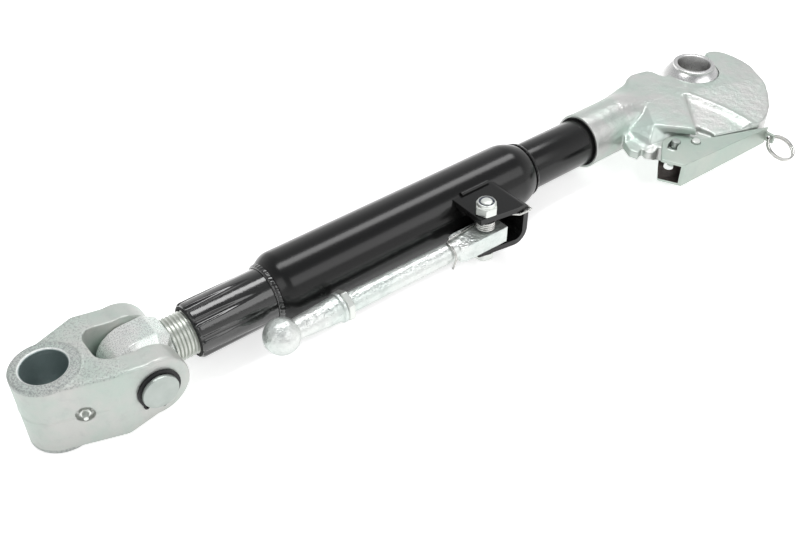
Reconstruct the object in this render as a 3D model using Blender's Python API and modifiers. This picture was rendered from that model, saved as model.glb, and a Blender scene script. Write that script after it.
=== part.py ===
import bpy
import bmesh
import math
from mathutils import Matrix, Vector

# Tractor top link: a forged knuckle at one end, a hook with a guide ball at the other,
# and a turnbuckle tube between them with a left-hand and a right-hand thread.
# Working frame while building: X runs along the link from the knuckle eye, the screw axis
# is Y = 0 and Z = 0, and +Z is up with the link lying on its side.

# Fits and clearances
GAP = 0.0003
BORE_PLAY = 0.0004
MERGE_DISTANCE = 0.00002
FLAT_ANGLE = math.radians(0.2)
CUT_REACH = 0.02

# Facet counts
STEPS_LARGE = 48
STEPS_MEDIUM = 32
STEPS_SMALL = 20
STEPS_WIRE = 10

# Overall layout along the link
EYE_TO_PIN = 0.062
EYE_TO_BALL = 0.688
LEFT_MOUTH_X = 0.107
TUBE_START_X = 0.177
TUBE_END_X = 0.447
RIGHT_SLEEVE_END_X = 0.566
SKIRT_MOUTH_X = 0.524

# Knuckle
EYE_RADIUS = 0.02475
EYE_BORE_RADIUS = 0.0165
EYE_HALF_HEIGHT = 0.0325
FORK_HALF_WIDTH = 0.0375
FORK_END_RADIUS = 0.0258
FORK_SHOULDER_X = 0.034
FORK_SLOT_HALF = 0.0187
FORK_SLOT_START_X = 0.032
FORK_SLOT_CORNER = 0.011
ARM_HALF_HEIGHT = 0.0302
ARM_FLAT_END_X = 0.036
EYE_WALL_STEP = 0.0003
EYE_EDGE = 0.0012
KNUCKLE_EDGE = 0.0022
NIPPLE_X = 0.0105
NIPPLE_Z = 0.001
NIPPLE_RECESS_RADIUS = 0.0068
NIPPLE_RECESS_DEPTH = 0.0045
NIPPLE_HEX_RADIUS = 0.0042
NIPPLE_HEX_HEIGHT = 0.0028
NIPPLE_NECK_RADIUS = 0.0017
NIPPLE_HEAD_RADIUS = 0.0031
NIPPLE_HEIGHT = 0.0085
NIPPLE_STEM_RADIUS = 0.0026
NIPPLE_STEM_DEPTH = 0.005

# Fork pin and its circlips
PIN_RADIUS = 0.014
PIN_PROUD = 0.0052
PIN_CHAMFER = 0.0008
CIRCLIP_THICKNESS = 0.0016
CIRCLIP_SEAT_RADIUS = 0.0129
CIRCLIP_THICK_RADIUS = 0.0171
CIRCLIP_THIN_RADIUS = 0.0157
CIRCLIP_LUG_RADIUS = 0.0022
CIRCLIP_HOLE_RADIUS = 0.0009
CIRCLIP_GAP_ANGLE = 26.0
CIRCLIP_OPEN_ANGLE = -112.0

# Threads: M36 with a 3 mm pitch, left-hand at the knuckle and right-hand at the hook
THREAD_RADIUS = 0.018
THREAD_ROOT_RADIUS = 0.0163
THREAD_PITCH = 0.003
THREAD_SHOWN_TURNS = 13
HOOK_THREAD_SHOWN_TURNS = 8
PLAIN_RADIUS = 0.0174
HEAD_RADIUS = 0.0252
HEAD_HALF_WIDTH = 0.0184
HEAD_NECK_X = 0.088
HEAD_FLAT_X = 0.078
HEAD_EDGE = 0.0068
LEFT_SPINDLE_END_X = 0.262
SPINDLE_TIP = 0.002

# Sleeves, tube and welds
SLEEVE_RADIUS = 0.023
SLEEVE_BORE_RADIUS = 0.0183
SLEEVE_CHAMFER = 0.0028
SLEEVE_SPIGOT = 0.012
GROOVE_COUNT = 10
GROOVE_RADIUS = 0.0034
GROOVE_DEPTH = 0.0021
GROOVE_LENGTH = 0.055
WIPER_RADIUS = 0.0206
WIPER_WIDTH = 0.0055
WIPER_PROUD = 0.001
RIGHT_SLEEVE_RADIUS = 0.0223
TUBE_RADIUS = 0.0305
TUBE_WALL = 0.0055
TUBE_NECK_RADIUS = 0.0248
TUBE_LEFT_SHOULDER = 0.013
TUBE_RIGHT_SHOULDER = 0.020
BEAD_WIDTH = 0.0042
BEAD_RADIUS = 0.0258

# Hook skirt, seal and screwed shank
SKIRT_RADIUS = 0.0264
SKIRT_BORE_RADIUS = 0.0232
SKIRT_END_X = 0.573
SEAL_SEAT_RADIUS = 0.0251
SEAL_WIDTH = 0.0055
SEAL_PROUD = 0.0012
SKIRT_BORE_END_X = 0.580
HOOK_SPINDLE_START_X = 0.398
HOOK_SPINDLE_SOCKET = 0.020

# Handle bracket, bolt, nut and lever
BRACKET_LEFT_X = 0.350
BRACKET_RIGHT_X = 0.399
BRACKET_TOP_Z = 0.0235
BRACKET_BOTTOM_Z = -0.0165
BRACKET_THICKNESS = 0.0055
BRACKET_TOP_BEND = 0.0078
BRACKET_BOTTOM_BEND = 0.012
BRACKET_NEAR_Y = -0.0625
BRACKET_TAPER = 0.006
BRACKET_TAPER_X = 0.386
BRACKET_EDGE = 0.0006
BOLT_X = 0.361
BOLT_Y = -0.050
BOLT_RADIUS = 0.005
BOLT_HEAD_RADIUS = 0.0098
BOLT_HEAD_HEIGHT = 0.0064
BOLT_END_PROUD = 0.0006
NUT_RADIUS = 0.0098
NUT_HEIGHT = 0.0112
NUT_COLLAR_RADIUS = 0.0082
NUT_COLLAR_HEIGHT = 0.0032
NUT_INSERT_RADIUS = 0.0070
NUT_INSERT_HEIGHT = 0.003
WELD_RADIUS = 0.0022
WELD_LENGTH = 0.030
LEVER_Z = -0.0012
LEVER_HALF_THICKNESS = 0.008
LEVER_HALF_WIDTH = 0.0108
LEVER_HEAD_RIGHT = 0.0165
LEVER_HEAD_LEFT = 0.027
LEVER_TAPER = 0.006
LEVER_TUBE_PLAY = 0.0006
LEVER_YAW = -1.0
LEVER_ROD_RADIUS = 0.0087
LEVER_EDGE = 0.0012
LOCK_NUT_X = 0.214
LOCK_NUT_RADIUS = 0.0136
LOCK_NUT_WIDTH = 0.0065
GRIP_RADIUS = 0.0110
GRIP_COLLAR_RADIUS = 0.0126
GRIP_COLLAR_WIDTH = 0.0032
GRIP_NECK_RADIUS = 0.0086
KNOB_X = 0.160
KNOB_RADIUS = 0.0155
GRIP_THREAD_RADIUS = 0.005
GRIP_SOCKET = 0.018

# Handle torsion spring
SPRING_WIRE = 0.0010
SPRING_RADIUS = 0.0078
SPRING_TURNS = 4.12
SPRING_PITCH = 0.00208
SPRING_STEPS = 14
SPRING_LEG_X = 0.3210
SPRING_LEG_DROP = 0.008
SPRING_LEG_LEAN = 0.0035
SPRING_HOOK = 0.004

# Hook body
BALL_RADIUS = 0.032
HOOK_REACH_SHARE = 3.125
HOOK_REACH = BALL_RADIUS * HOOK_REACH_SHARE
HOOK_HALF_THICKNESS = 0.020
EAR_HALF_THICKNESS = 0.0072
BALL_SEAT_PLAY = 0.0004
MOUTH_REACH = 0.075
HOOK_EDGE = 0.003
PANEL_STEP = 0.0024
PANEL_FALL = 0.0068
PANEL_FALL_RUN = 0.0633
SHANK_LOFT_END_X = 0.622
SHANK_LOFT_START_X = 0.572
SHANK_NEAR_Y = -0.030
SHANK_FAR_Y = 0.030
SHANK_CORNER = 0.010
STOP_BOSS_RADIUS = 0.0065
STOP_BOSS_SHARES = (-1.24, -0.55)
STOP_BOSS_X = STOP_BOSS_SHARES[0] * HOOK_REACH
STOP_BOSS_Y = STOP_BOSS_SHARES[1] * HOOK_REACH
STOP_BOSS_HALF = 0.0072

# Guide ball
BALL_BORE_RADIUS = 0.0162
BALL_COLLAR_RADIUS = 0.0208
BALL_HALF_WIDTH = 0.0275
BALL_COLLAR_EDGE = 0.0012

# Latch: positions are measured from the ball centre
PAWL_HALF_THICKNESS = 0.0048
PAWL_SLOT_PLAY = 0.0004
PAWL_PIVOT_SHARES = (-0.48, -0.38)
PAWL_PIVOT_X = PAWL_PIVOT_SHARES[0] * HOOK_REACH
PAWL_PIVOT_Y = PAWL_PIVOT_SHARES[1] * HOOK_REACH
PAWL_PIVOT_RADIUS = 0.005
PAWL_PIN_TOP_Z = 0.0128
PAWL_TURN = 8.0
LINK_PIN_SHARES = (-0.91, -0.80)
LINK_PIN_X = LINK_PIN_SHARES[0] * HOOK_REACH
LINK_PIN_Y = LINK_PIN_SHARES[1] * HOOK_REACH
LINK_PIN_RADIUS = 0.0042
GUIDE_PIN_SHARES = (-1.06, -0.69)
GUIDE_PIN_X = GUIDE_PIN_SHARES[0] * HOOK_REACH
GUIDE_PIN_Y = GUIDE_PIN_SHARES[1] * HOOK_REACH
GUIDE_PIN_RADIUS = 0.004
PIN_HEAD_PROUD = 0.0022
PIN_DIMPLE = 0.0006
LATCH_SPRING_SHARES = (-0.55, 0.12)
LATCH_SPRING_X = LATCH_SPRING_SHARES[0] * HOOK_REACH
LATCH_SPRING_LENGTH = 0.024
LATCH_SPRING_Y = LATCH_SPRING_SHARES[1] * HOOK_REACH
LATCH_SPRING_RADIUS = 0.0037
LATCH_SPRING_WIRE = 0.0007
LATCH_SPRING_TURNS = 7
LATCH_POCKET_RADIUS = 0.0049

# Release lever and pull ring
CHANNEL_LEFT_HALF = 0.0120
CHANNEL_RIGHT_HALF = 0.0102
CHANNEL_THICKNESS = 0.0028
CHANNEL_EDGE = 0.0009
LEVER_TURN = 25.0
LEVER_SLOT_STEPS = 12
TAB_SHARES = (-0.125, -1.035)
TAB_X = TAB_SHARES[0] * HOOK_REACH
TAB_Y = TAB_SHARES[1] * HOOK_REACH
TAB_REACH = 0.010
TAB_HALF_HEIGHT = 0.0050
TAB_HOLE_RADIUS = 0.0026
TAB_HOLE_INSET = 0.0045
RING_RADIUS = 0.0135
RING_WIRE = 0.0012
RING_DROOP = 20.0

# Outlines, as shares of the hook's reach, measured from the ball centre
HOOK_OUTLINE_SHARES = (
    (-0.80, 0.16), (-0.72, 0.265), (-0.66, 0.302), (-0.58, 0.322), (-0.50, 0.315),
    (-0.38, 0.285), (-0.345, 0.24), (-0.33, 0.10), (0.33, 0.05), (0.345, 0.125), (0.38, 0.145),
    (0.455, 0.145), (0.515, 0.105), (0.55, 0.03), (0.565, -0.08), (0.56, -0.20), (0.53, -0.34),
    (0.46, -0.49), (0.36, -0.63), (0.24, -0.755), (0.11, -0.865), (-0.02, -0.94), (-0.12, -0.975),
    (-0.22, -0.985), (-0.83, -0.785), (-0.865, -0.72), (-1.08, -0.47), (-1.10, -0.43),
    (-0.90, -0.16),
)
EAR_OUTLINE_SHARES = (
    (-0.95, -0.20), (-1.26, -0.24), (-1.34, -0.32), (-1.40, -0.44), (-1.375, -0.525), (-1.31, -0.50),
    (-1.25, -0.52), (-1.20, -0.60), (-1.165, -0.70), (-1.13, -0.765), (-1.06, -0.785), (-0.995, -0.755),
    (-0.955, -0.69), (-0.88, -0.66), (-0.70, -0.66),
)
PANEL_OUTLINE_SHARES = (
    (-0.43, -0.25), (-0.37, -0.44), (-0.31, -0.64), (-0.285, -0.86), (-0.27, -1.20), (-0.90, -1.20),
    (-0.855, -0.76), (-0.68, -0.55),
)
FLANGE_POCKET_SHARES = (
    (-1.20, -0.55), (-0.98, -0.47), (-0.82, -0.54), (-0.70, -0.66), (-0.66, -0.80), (-0.76, -1.00),
    (-1.20, -1.00),
)
PAWL_OUTLINE_SHARES = (
    (-0.27, 0.235), (-0.50, 0.235), (-0.54, 0.18), (-0.57, -0.34), (-0.62, -0.43), (-0.955, -0.755),
    (-0.975, -0.80), (-0.955, -0.846), (-0.91, -0.865), (-0.864, -0.846), (-0.43, -0.426),
    (-0.392, -0.35), (-0.385, 0.0), (-0.37, 0.09), (-0.30, 0.15), (-0.25, 0.205),
)
PAWL_SLOT_SHARES = (
    (-0.20, 0.12), (-0.20, 0.265), (-0.595, 0.265), (-0.63, 0.16), (-0.588, -0.32), (-0.635, -0.42),
    (-0.995, -0.755), (-1.00, -1.10), (-0.78, -1.10), (-0.755, -0.92), (-0.38, -0.46), (-0.37, -0.20),
    (-0.365, 0.05), (-0.30, 0.12),
)
FLANGE_OUTLINE_SHARES = (
    (-1.29, -0.99), (-0.14, -1.045), (-0.11, -1.035), (-0.22, -0.999), (-0.82, -0.80), (-0.875, -0.70),
    (-0.96, -0.61), (-1.06, -0.585), (-1.16, -0.61), (-1.25, -0.68), (-1.39, -0.795),
)
FALL_OUTLINE_SHARES = (
    (-0.46, -0.15), (0.60, -0.49), (0.60, -1.21), (-0.906, -1.21), (-0.861, -0.757), (-0.686, -0.546),
    (-0.436, -0.244),
)
FALL_START_SHARE = (-0.43, -0.25)
FALL_WAY_SHARE = (-0.311, -0.950)
GUSSET_EDGE_SHARES = ((-0.60, 0.10), (-0.90, -0.16), (-1.09, -0.44), (-0.80, -0.48), (-0.60, -0.30))
GUSSET_FOOT_SHARES = ((-0.60, 0.10), (-1.22, -0.20), (-1.24, -0.53), (-0.80, -0.60), (-0.60, -0.40))

# Finishes: base colour, roughness, metallic
ZINC_FORGED = ((0.56, 0.58, 0.55, 1.0), 0.46, 0.75)
ZINC_SMOOTH = ((0.64, 0.68, 0.65, 1.0), 0.30, 0.85)
BLACK_PAINT = ((0.020, 0.020, 0.019, 1.0), 0.32, 0.0)
BLACK_WELD = ((0.016, 0.016, 0.016, 1.0), 0.50, 0.0)
BLACK_STEEL = ((0.018, 0.018, 0.020, 1.0), 0.38, 0.3)
SPRING_STEEL = ((0.30, 0.30, 0.29, 1.0), 0.34, 0.9)
RUBBER = ((0.012, 0.012, 0.012, 1.0), 0.60, 0.0)
NYLON = ((0.035, 0.045, 0.065, 1.0), 0.45, 0.0)
BALL_STEEL = ((0.62, 0.63, 0.61, 1.0), 0.24, 0.95)


def clear_scene():
    for ob in list(bpy.data.objects):
        bpy.data.objects.remove(ob, do_unlink=True)


def make_collection(name):
    group = bpy.data.collections.new(name)
    bpy.context.scene.collection.children.link(group)
    return group


clear_scene()
PARTS = make_collection("tractor_top_link")
CUTTERS = make_collection("cutters")


def make_material(name, finish):
    colour, roughness, metallic = finish
    material = bpy.data.materials.new(name)
    material.use_nodes = True
    shader = material.node_tree.nodes["Principled BSDF"]
    shader.inputs["Base Color"].default_value = colour
    shader.inputs["Roughness"].default_value = roughness
    shader.inputs["Metallic"].default_value = metallic
    material.diffuse_color = colour
    return material


def as_object(name, mesh, finish=None):
    """Link a mesh as a part when it has a finish, and as a hidden cutter otherwise."""
    ob = bpy.data.objects.new(name, mesh)
    if finish is None:
        CUTTERS.objects.link(ob)
        ob.hide_render = True
        ob.display_type = "WIRE"
    else:
        PARTS.objects.link(ob)
        mesh.materials.append(make_material(name + "_finish", finish))
    return ob


def mesh_from(name, builder):
    mesh = bpy.data.meshes.new(name)
    bm = bmesh.new()
    builder(bm)
    bmesh.ops.recalc_face_normals(bm, faces=bm.faces)
    bm.to_mesh(mesh)
    bm.free()
    return mesh


def box_mesh(name, low, high):
    def builder(bm):
        size = [high[k] - low[k] for k in range(3)]
        middle = [(high[k] + low[k]) / 2 for k in range(3)]
        matrix = Matrix.Translation(middle) @ Matrix.Diagonal((*size, 1.0))
        bmesh.ops.create_cube(bm, size=1.0, matrix=matrix)
    return mesh_from(name, builder)


def turn_to(axis):
    """Rotation that carries +Z onto the given direction."""
    return Vector((0.0, 0.0, 1.0)).rotation_difference(Vector(axis)).to_matrix().to_4x4()


def rod_mesh(name, centre, axis, radius, length, steps, far_radius=None, twist=0.0):
    """Round or polygonal bar centred on a point, its length along an axis."""
    def builder(bm):
        matrix = Matrix.Translation(centre) @ turn_to(axis) @ Matrix.Rotation(twist, 4, "Z")
        bmesh.ops.create_cone(
            bm, cap_ends=True, segments=steps, radius1=radius,
            radius2=radius if far_radius is None else far_radius, depth=length, matrix=matrix)
    return mesh_from(name, builder)


def joined(name, meshes):
    """One mesh holding several bodies that do not touch."""
    bm = bmesh.new()
    for mesh in meshes:
        bm.from_mesh(mesh)
        bpy.data.meshes.remove(mesh)
    mesh = bpy.data.meshes.new(name)
    bm.to_mesh(mesh)
    bm.free()
    return mesh


def sheet_mesh(name, outline, low, high, plane="XY", whole_faces=False):
    """Flat plate with the given outline between two levels, from a filled 2D curve."""
    curve = bpy.data.curves.new(name + "_outline", "CURVE")
    curve.dimensions = "2D"
    curve.fill_mode = "BOTH"
    curve.extrude = (high - low) / 2
    spline = curve.splines.new("POLY")
    spline.points.add(len(outline) - 1)
    for point, (u, v) in zip(spline.points, outline):
        point.co = (u, v, 0.0, 1.0)
    spline.use_cyclic_u = True
    holder = bpy.data.objects.new(name + "_outline", curve)
    bpy.context.scene.collection.objects.link(holder)
    graph = bpy.context.evaluated_depsgraph_get()
    mesh = bpy.data.meshes.new_from_object(holder.evaluated_get(graph))
    bpy.data.objects.remove(holder, do_unlink=True)
    bpy.data.curves.remove(curve)
    mesh.name = name
    mesh.materials.clear()
    bm = bmesh.new()
    bm.from_mesh(mesh)
    bmesh.ops.remove_doubles(bm, verts=bm.verts, dist=MERGE_DISTANCE)
    if whole_faces:
        bmesh.ops.dissolve_limit(bm, angle_limit=FLAT_ANGLE, verts=bm.verts, edges=bm.edges)
    bmesh.ops.recalc_face_normals(bm, faces=bm.faces)
    middle = Matrix.Translation((0.0, 0.0, (high + low) / 2))
    if plane == "XZ":
        middle = Matrix.Rotation(math.radians(90), 4, "X") @ Matrix.Translation(
            (0.0, 0.0, -(high + low) / 2))
    bm.transform(middle)
    bm.to_mesh(mesh)
    bm.free()
    return mesh


def wire_mesh(name, points, radius, cyclic=False):
    """Round wire along a polyline, with closed ends."""
    curve = bpy.data.curves.new(name + "_path", "CURVE")
    curve.dimensions = "3D"
    curve.bevel_depth = radius
    curve.bevel_resolution = 2
    curve.use_fill_caps = not cyclic
    spline = curve.splines.new("POLY")
    spline.points.add(len(points) - 1)
    for point, place in zip(spline.points, points):
        point.co = (*place, 1.0)
    spline.use_cyclic_u = cyclic
    holder = bpy.data.objects.new(name + "_path", curve)
    bpy.context.scene.collection.objects.link(holder)
    graph = bpy.context.evaluated_depsgraph_get()
    mesh = bpy.data.meshes.new_from_object(holder.evaluated_get(graph))
    bpy.data.objects.remove(holder, do_unlink=True)
    bpy.data.curves.remove(curve)
    mesh.name = name
    mesh.materials.clear()
    bm = bmesh.new()
    bm.from_mesh(mesh)
    bmesh.ops.remove_doubles(bm, verts=bm.verts, dist=MERGE_DISTANCE)
    bmesh.ops.recalc_face_normals(bm, faces=bm.faces)
    bm.to_mesh(mesh)
    bm.free()
    return mesh


def add_screw(ob, steps):
    screw = ob.modifiers.new("turned", "SCREW")
    screw.axis = "Z"
    screw.angle = math.radians(360)
    screw.steps = steps
    screw.render_steps = steps
    screw.use_merge_vertices = True
    screw.merge_threshold = MERGE_DISTANCE
    return screw


def turned(name, profile, steps, finish=None, along="X", at=(0.0, 0.0, 0.0)):
    """Body of revolution. Profile points are (radius, height) down the outer side, top to bottom."""
    mesh = bpy.data.meshes.new(name)
    bm = bmesh.new()
    verts = [bm.verts.new((radius, 0.0, height)) for radius, height in profile]
    for k in range(len(verts)):
        if k + 1 < len(verts):
            bm.edges.new((verts[k], verts[k + 1]))
        elif profile[0][0] > 0.0 and profile[-1][0] > 0.0:
            bm.edges.new((verts[k], verts[0]))
    bm.to_mesh(mesh)
    bm.free()
    ob = as_object(name, mesh, finish)
    add_screw(ob, steps)
    ob.location = at
    if along == "X":
        ob.rotation_euler = (0.0, math.radians(90), 0.0)
    elif along == "Y":
        ob.rotation_euler = (math.radians(-90), 0.0, 0.0)
    return ob


def bevel(ob, width, segments=2, angle=35.0):
    step = ob.modifiers.new("edges", "BEVEL")
    step.width = width
    step.segments = segments
    step.limit_method = "ANGLE"
    step.angle_limit = math.radians(angle)
    return step


def boolean(ob, other, operation):
    step = ob.modifiers.new(operation.lower() + "_" + other.name, "BOOLEAN")
    step.operation = operation
    step.solver = "EXACT"
    step.object = other
    return step


def cut(ob, mesh):
    """Take a mesh away from a part."""
    tool = as_object(mesh.name, mesh)
    boolean(ob, tool, "DIFFERENCE")
    return tool


def fuse(ob, mesh):
    tool = as_object(mesh.name, mesh)
    boolean(ob, tool, "UNION")
    return tool


def arc(centre, radius, start, end, count):
    """Points on an arc in a plane, angles in degrees."""
    points = []
    for k in range(count + 1):
        angle = math.radians(start + (end - start) * k / count)
        points.append((centre[0] + radius * math.cos(angle), centre[1] + radius * math.sin(angle)))
    return points


def hook_points(shares):
    """Outline in the building frame from shares of the hook unit about the ball centre."""
    return [(EYE_TO_BALL + u * HOOK_REACH, v * HOOK_REACH) for u, v in shares]


def about(point, pivot, degrees):
    angle = math.radians(degrees)
    dx = point[0] - pivot[0]
    dy = point[1] - pivot[1]
    return (pivot[0] + dx * math.cos(angle) - dy * math.sin(angle),
            pivot[1] + dx * math.sin(angle) + dy * math.cos(angle))


def smooth(ob, angle=38.0):
    ob.data.shade_smooth()
    ob.data.set_sharp_from_angle(angle=math.radians(angle))


# Knuckle: vertical eye, two cheeks and the slot between them
def flank_angle():
    """Angle round the eye at which the straight flank to the fork shoulder leaves it."""
    reach = math.hypot(FORK_SHOULDER_X, FORK_HALF_WIDTH)
    return math.atan2(FORK_HALF_WIDTH, FORK_SHOULDER_X) + math.acos(EYE_RADIUS / reach)


def build_knuckle_fork():
    plan = []
    flank = math.degrees(flank_angle())
    plan.extend(arc((0.0, 0.0), EYE_RADIUS - EYE_WALL_STEP, flank, 360.0 - flank, 20))
    plan.append((FORK_SHOULDER_X, -FORK_HALF_WIDTH))
    blank_end_x = EYE_TO_PIN + FORK_END_RADIUS * 2
    plan.extend([(blank_end_x, -FORK_HALF_WIDTH), (blank_end_x, FORK_HALF_WIDTH)])
    plan.append((FORK_SHOULDER_X, FORK_HALF_WIDTH))
    ob = as_object("knuckle_fork", sheet_mesh(
        "knuckle_fork", plan, -EYE_HALF_HEIGHT, EYE_HALF_HEIGHT, "XY", True), ZINC_FORGED)
    side = [(-EYE_RADIUS * 2, ARM_HALF_HEIGHT), (-EYE_RADIUS * 2, -ARM_HALF_HEIGHT)]
    side.append((ARM_FLAT_END_X, -ARM_HALF_HEIGHT))
    side.extend(arc((EYE_TO_PIN, 0.0), FORK_END_RADIUS, -98, 98, 28))
    side.append((ARM_FLAT_END_X, ARM_HALF_HEIGHT))
    keep = as_object("fork_side_profile", sheet_mesh(
        "fork_side_profile", side, -FORK_HALF_WIDTH * 2, FORK_HALF_WIDTH * 2, "XZ", True))
    boolean(ob, keep, "INTERSECT")
    bevel(ob, KNUCKLE_EDGE, 2, 30.0)
    eye_profile = [
        (0.0, EYE_HALF_HEIGHT), (EYE_RADIUS - EYE_EDGE, EYE_HALF_HEIGHT),
        (EYE_RADIUS, EYE_HALF_HEIGHT - EYE_EDGE), (EYE_RADIUS, EYE_EDGE - EYE_HALF_HEIGHT),
        (EYE_RADIUS - EYE_EDGE, -EYE_HALF_HEIGHT), (0.0, -EYE_HALF_HEIGHT),
    ]
    boolean(ob, turned("eye_ring", eye_profile, STEPS_LARGE + 12, None, "Z"), "UNION")
    slot = [(blank_end_x, FORK_SLOT_HALF)]
    slot.extend(arc((FORK_SLOT_START_X + FORK_SLOT_CORNER, FORK_SLOT_HALF - FORK_SLOT_CORNER),
                    FORK_SLOT_CORNER, 90, 180, 6))
    slot.extend(arc((FORK_SLOT_START_X + FORK_SLOT_CORNER, FORK_SLOT_CORNER - FORK_SLOT_HALF),
                    FORK_SLOT_CORNER, 180, 270, 6))
    slot.append((blank_end_x, -FORK_SLOT_HALF))
    cut(ob, sheet_mesh("fork_slot", slot, -EYE_HALF_HEIGHT * 2, EYE_HALF_HEIGHT * 2))
    cut(ob, rod_mesh("eye_bore", (0.0, 0.0, 0.0), (0, 0, 1), EYE_BORE_RADIUS,
                     EYE_HALF_HEIGHT * 3, STEPS_LARGE))
    cut(ob, rod_mesh("fork_pin_bore", (EYE_TO_PIN, 0.0, 0.0), (0, 1, 0), PIN_RADIUS + GAP,
                     FORK_HALF_WIDTH * 3, STEPS_MEDIUM))
    place, outward = nipple_place()
    cut(ob, rod_mesh("nipple_recess", place, outward, NIPPLE_RECESS_RADIUS,
                     NIPPLE_RECESS_DEPTH * 2, STEPS_SMALL))
    cut(ob, rod_mesh("nipple_stem_hole", place, outward, NIPPLE_STEM_RADIUS + GAP,
                     (NIPPLE_RECESS_DEPTH + NIPPLE_STEM_DEPTH + GAP) * 2, STEPS_WIRE))
    smooth(ob)
    return ob


def nipple_place():
    """Point on the near flank of the eye and the direction out of it."""
    angle = flank_angle()
    outward = Vector((math.cos(angle), -math.sin(angle), 0.0))
    along = Vector((math.sin(angle), math.cos(angle), 0.0))
    foot = outward * EYE_RADIUS
    place = foot + along * ((NIPPLE_X - foot.x) / along.x) + Vector((0.0, 0.0, NIPPLE_Z))
    return place, outward


def build_grease_nipple():
    place, outward = nipple_place()
    base = place - outward * (NIPPLE_RECESS_DEPTH - GAP)
    hexagon = as_object("knuckle_grease_nipple", rod_mesh(
        "knuckle_grease_nipple", base + outward * (NIPPLE_HEX_HEIGHT / 2), outward,
        NIPPLE_HEX_RADIUS, NIPPLE_HEX_HEIGHT, 6), ZINC_SMOOTH)
    stem = rod_mesh("nipple_stem", base - outward * (NIPPLE_STEM_DEPTH / 2 - NIPPLE_HEX_HEIGHT / 2),
                    outward, NIPPLE_STEM_RADIUS, NIPPLE_STEM_DEPTH + NIPPLE_HEX_HEIGHT / 2, STEPS_WIRE)
    fuse(hexagon, stem)
    neck = rod_mesh("nipple_neck", base + outward * (NIPPLE_HEIGHT / 2), outward,
                    NIPPLE_HEAD_RADIUS, NIPPLE_HEIGHT - NIPPLE_HEX_HEIGHT / 2, STEPS_WIRE,
                    NIPPLE_NECK_RADIUS)
    fuse(hexagon, neck)
    smooth(hexagon)
    return hexagon


def build_knuckle_pin():
    half = FORK_HALF_WIDTH + PIN_PROUD
    groove_in = FORK_HALF_WIDTH
    groove_out = FORK_HALF_WIDTH + CIRCLIP_THICKNESS + GAP * 2
    profile = [
        (0.0, half), (PIN_RADIUS - PIN_CHAMFER, half), (PIN_RADIUS, half - PIN_CHAMFER),
        (PIN_RADIUS, groove_out), (CIRCLIP_SEAT_RADIUS, groove_out),
        (CIRCLIP_SEAT_RADIUS, groove_in), (PIN_RADIUS, groove_in),
        (PIN_RADIUS, -groove_in), (CIRCLIP_SEAT_RADIUS, -groove_in),
        (CIRCLIP_SEAT_RADIUS, -groove_out), (PIN_RADIUS, -groove_out),
        (PIN_RADIUS, PIN_CHAMFER - half), (PIN_RADIUS - PIN_CHAMFER, -half), (0.0, -half),
    ]
    ob = turned("knuckle_pin", profile, STEPS_MEDIUM, ZINC_SMOOTH, "Y", (EYE_TO_PIN, 0.0, 0.0))
    smooth(ob)
    return ob


def build_circlip(name, side):
    """External snap ring in the groove of the fork pin, open at its lower side."""
    seat = CIRCLIP_SEAT_RADIUS + GAP
    span = 360.0 - 2 * CIRCLIP_GAP_ANGLE
    start = CIRCLIP_OPEN_ANGLE + CIRCLIP_GAP_ANGLE
    count = 30
    outline = []
    for k in range(count + 1):
        share = k / count
        angle = math.radians(start + span * share)
        bulge = math.sin(math.pi * share)
        radius = CIRCLIP_THIN_RADIUS + (CIRCLIP_THICK_RADIUS - CIRCLIP_THIN_RADIUS) * bulge
        outline.append((EYE_TO_PIN + radius * math.cos(angle), radius * math.sin(angle)))
    for k in range(count + 1):
        angle = math.radians(start + span * (1 - k / count))
        outline.append((EYE_TO_PIN + seat * math.cos(angle), seat * math.sin(angle)))
    low = FORK_HALF_WIDTH + GAP
    high = low + CIRCLIP_THICKNESS
    if side < 0:
        low, high = -high, -low
    ob = as_object(name, sheet_mesh(name, outline, low, high, "XZ"), BLACK_STEEL)
    middle = (low + high) / 2
    lug_circle = (CIRCLIP_THIN_RADIUS + seat) / 2 + CIRCLIP_LUG_RADIUS / 2
    for mark, angle in (("a", start), ("b", start + span)):
        spot = (EYE_TO_PIN + lug_circle * math.cos(math.radians(angle)), middle,
                lug_circle * math.sin(math.radians(angle)))
        fuse(ob, rod_mesh(name + "_lug_" + mark, spot, (0, 1, 0), CIRCLIP_LUG_RADIUS,
                          CIRCLIP_THICKNESS - GAP / 2, STEPS_SMALL))
        cut(ob, rod_mesh(name + "_hole_" + mark, spot, (0, 1, 0), CIRCLIP_HOLE_RADIUS,
                         CIRCLIP_THICKNESS * 3, STEPS_WIRE))
    smooth(ob)
    return ob


def thread_profile(start, turns, radius, root, pitch, end, tip):
    """Ringed stand-in for a thread, then a plain bar. Heights fall from start to end."""
    profile = []
    height = start
    for _ in range(turns):
        profile.append((root, height))
        profile.append((radius, height - pitch / 2))
        height -= pitch
    profile.append((root, height))
    profile.append((PLAIN_RADIUS, height - (PLAIN_RADIUS - root)))
    profile.append((PLAIN_RADIUS, end + tip))
    profile.append((PLAIN_RADIUS - tip, end))
    profile.append((0.0, end))
    return profile


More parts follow.
